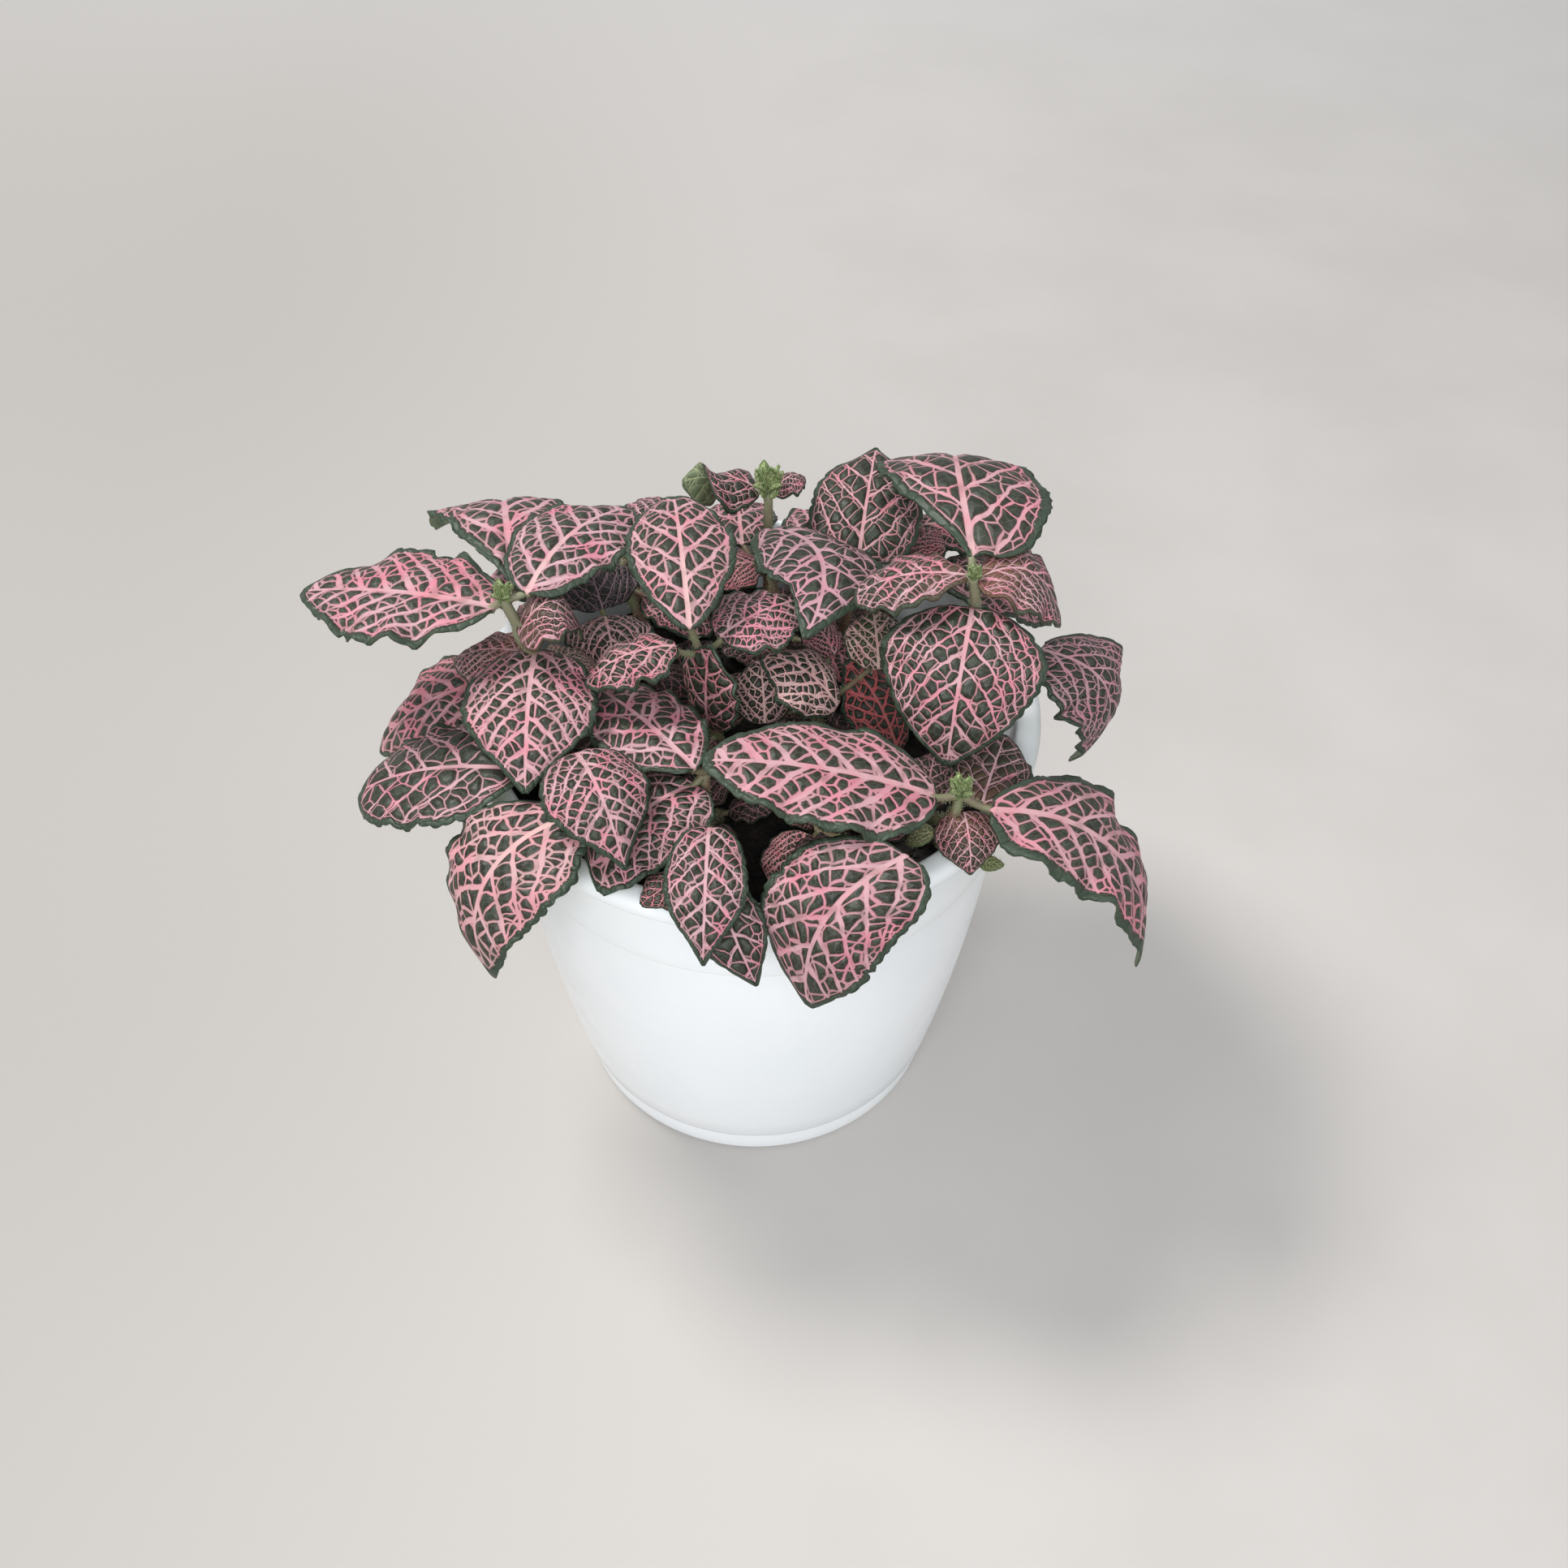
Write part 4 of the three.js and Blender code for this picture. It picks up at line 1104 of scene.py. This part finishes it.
stem = {
    "radius": 1.15, "tip": 0.9, "sides": 10, "steps": 8, "under": 7,  # starts this far under the soil's level
    "petiole": 0.8, "petioleSides": 8, "petioleSteps": 6, "petioleInto": 1.4, "petioleBelow": 0.35,
    "sag": 0.08, "seed": 12,
}


def makePetiole(node, one):
    axes = leafAxes(one)
    up, length = axes[3], axes[4]
    spot = np.array([stem["petioleInto"] / length])
    end = bladePoints(one, axes, spot, np.zeros(1), 0.0)[0][0] - up * stem["petioleBelow"]
    start = np.array(node, float)
    middle = start + (end - start) * 0.55 - up * stem["sag"] * np.linalg.norm(end - start)
    thick = stem["petiole"]
    thin = thick * min(1, 0.55 + length / blade["detailLength"])
    radii = [thick * 1.1, thin, thin * 0.9]
    return makeTube([start, middle, end], radii, stem["petioleSides"], stem["petioleSteps"])


# The unopened leaves at a shoot's tip: upright ones, and short ones that spread round them.
budShape = {
    "upright": (((0.8, -0.6, -1), (0.6, -1.6, 7.5), 3.4), ((-0.8, 1.2, -1), (-1, 2.5, 6.5), 3.2),
                ((-0.9, -0.7, -1), (-2.4, -1.3, 6.8), 2.8), ((0.9, 0.8, -1), (2.4, 1.2, 6.0), 2.6)),
    "around": 4, "turn": 0.7, "near": 0.8, "far": 4.2, "low": 0.3, "high": 3, "width": 2.8, "fresh": 0.85,
}


def budLeaves(top, size, rng):
    def bract(start, tip, width, fresh):
        start, tip = (tuple(c + size * d for c, d in zip(top, at)) for at in (start, tip))
        return leaf(start, tip, width * size, arch=1.2 * size, cup=-size, ruffle=0, fresh=fresh, ribs=4,
                    cells=8)

    b = budShape
    leaves = [bract(start, tip, width, 1.0) for start, tip, width in b["upright"]]
    for i in range(b["around"]):
        angle = b["turn"] + i * 2 * math.pi / b["around"]
        start = (b["near"] * math.cos(angle), b["near"] * math.sin(angle), b["low"])
        tip = (b["far"] * math.cos(angle), b["far"] * math.sin(angle), b["high"] + rng.random())
        leaves.append(bract(start, tip, b["width"], b["fresh"]))
    return leaves


lowLeaves = {
    "heights": (105.5, 112.5), "headroom": 3, "inside": 53, "seed": 4,
    "start": 2.6, "length": 13, "width": 10.5,
}


# Small leaves in opposite pairs low on the stem, each pair square to the one below it.
def lowPairs(path, rng):
    low = lowLeaves
    p0, p1, p2 = (np.array(p, float) for p in path[:3])
    p3 = np.array(path[3], float) if len(path) > 3 else 2 * p2 - p1
    turn = rng.uniform(0, math.pi)
    pairs = []
    for i, height in enumerate(low["heights"]):
        if height > p2[2] - low["headroom"]:
            continue
        node = curvePoint(p0, p1, p2, p3, (height - p1[2]) / (p2[2] - p1[2]))
        leaves = []
        for side in range(2):
            angle = turn + math.pi * side + math.pi / 2 * i
            away = np.array([math.cos(angle), math.sin(angle), 0])
            length = low["length"] * rng.uniform(0.8, 1.2)
            tip = node + away * (low["start"] + length) + np.array([0, 0, rng.uniform(-1.5, 3)])
            if math.hypot(tip[0], tip[1]) > low["inside"]:
                continue
            start = node + away * low["start"] + np.array([0, 0, 0.6])
            width = low["width"] * length / low["length"]
            # the low leaves lie in the shadow of those above and get painted shade
            leaves.append(leaf(tuple(start), tuple(tip), width, arch=2, cup=-1.5, ribs=5, net=0.9, cells=9,
                               bronze=0.3 * rng.random(), dull=0.3 + 0.3 * rng.random()))
        pairs.append((tuple(node), leaves))
    return pairs


def makeShoot(name, foot, bud, nodes, rng, lowRng):
    path = [(*foot, soil["level"] - stem["under"]), (*foot, soil["level"] + soil["mound"] + 1)]
    path += [place for place, _ in nodes]
    radii = [stem["radius"]] * (len(path) - 1) + [stem["radius"] * stem["tip"]]
    parts = [makeTube(path, radii, stem["sides"], stem["steps"])]
    for place, leaves in nodes + lowPairs(path, lowRng):
        for one in leaves:
            parts.append(makePetiole(place, one))
            parts.append(makeBlade(one, rng.random()))
    if bud:
        parts += [makeBlade(one, rng.random()) for one in budLeaves(nodes[-1][0], bud, rng)]
    faces, slots, start = [], [], 0
    for points, quads, _, slot in parts:
        faces += [tuple(i + start for i in quad) for quad in quads]
        slots += [slot] * len(quads)
        start += len(points)
    merged = {key: np.concatenate([part[2][key] for part in parts]) for key in leafKeys}
    allPoints = np.concatenate([part[0] for part in parts])
    return newPiece(name, allPoints, faces, [leafSkin, stemSkin], slots, merged)


# Keeps only the faces for which keep(face) is true, as a throwaway piece to spread things over.
def partOf(piece, keep):
    source = piece.data
    kept = [tuple(face.vertices) for face in source.polygons if keep(face)]
    used = sorted({i for face in kept for i in face})
    new = {old: i for i, old in enumerate(used)}
    points = [tuple(source.vertices[i].co / mm) for i in used]
    return newPiece("scatterBase", points, [tuple(new[i] for i in face) for face in kept], [])


def isSoilTop(face):
    return face.normal.z > 0.5 and face.center.z > pot["collarBottom"] * mm


# Stems above the soil and the buds' leaves are hairy.
def isHairy(piece):
    edge = piece.data.attributes["leafEdge"].data
    low = hair["from"] * mm

    def keep(face):
        isBud = edge[face.vertices[0]].vector.z > hair["budFresh"]
        return face.center.z > low and (face.material_index == stemSlot or isBud)
    return keep


potPiece = makePot()
trayPiece = makeTray()
soilPiece = makeSoil()
print("pot, tray and soil made")

rng = random.Random(stem["seed"])
lowRng = random.Random(lowLeaves["seed"])
shootPieces = {}
for nodeName, (foot, bud, nodes) in shoots.items():
    pieceName = "leafy" + "".join(part.capitalize() for part in nodeName.split("_")[1:])
    shootPieces[nodeName] = makeShoot(pieceName, foot, bud, nodes, rng, lowRng)
print("shoots made:", sum(len(piece.data.polygons) for piece in shootPieces.values()), "faces")

crumb = makeCrumb()
crumbTree = makeScatterTree("soilCrumbs", crumb, pottingSoil, soil["seed"])
soilTop = partOf(soilPiece, isSoilTop)
crumbDensity = soil["crumbs"] / (math.pi * (soil["crumbReach"] * mm) ** 2)
crumbPiece = scatterOver("soilCrumbs", soilTop, crumbTree, crumbDensity, soil)

spike = makeHair()
hairTree = makeScatterTree("stemHairs", spike, fineHair, hair["seed"])
hairPieces = {}
for nodeName, piece in shootPieces.items():
    stems = partOf(piece, isHairy(piece))
    density = hair["density"] / mm ** 2
    hairPieces[nodeName] = scatterOver(piece.name + "Hairs", stems, hairTree, density, hair)
    bpy.data.objects.remove(stems)
for helper in (crumb, spike, soilTop):
    bpy.data.objects.remove(helper)

for piece, node, slot in ((potPiece, "pot", "white_plastic"), (trayPiece, "base_tray", "white_plastic"),
                          (soilPiece, "soil", "potting_soil")):
    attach(piece, "root")
    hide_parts(node)
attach(crumbPiece, "root")
for nodeName, piece in shootPieces.items():
    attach(piece, "root")
    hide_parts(nodeName)
    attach(hairPieces[nodeName], "root")
print("pieces joined to the frame")
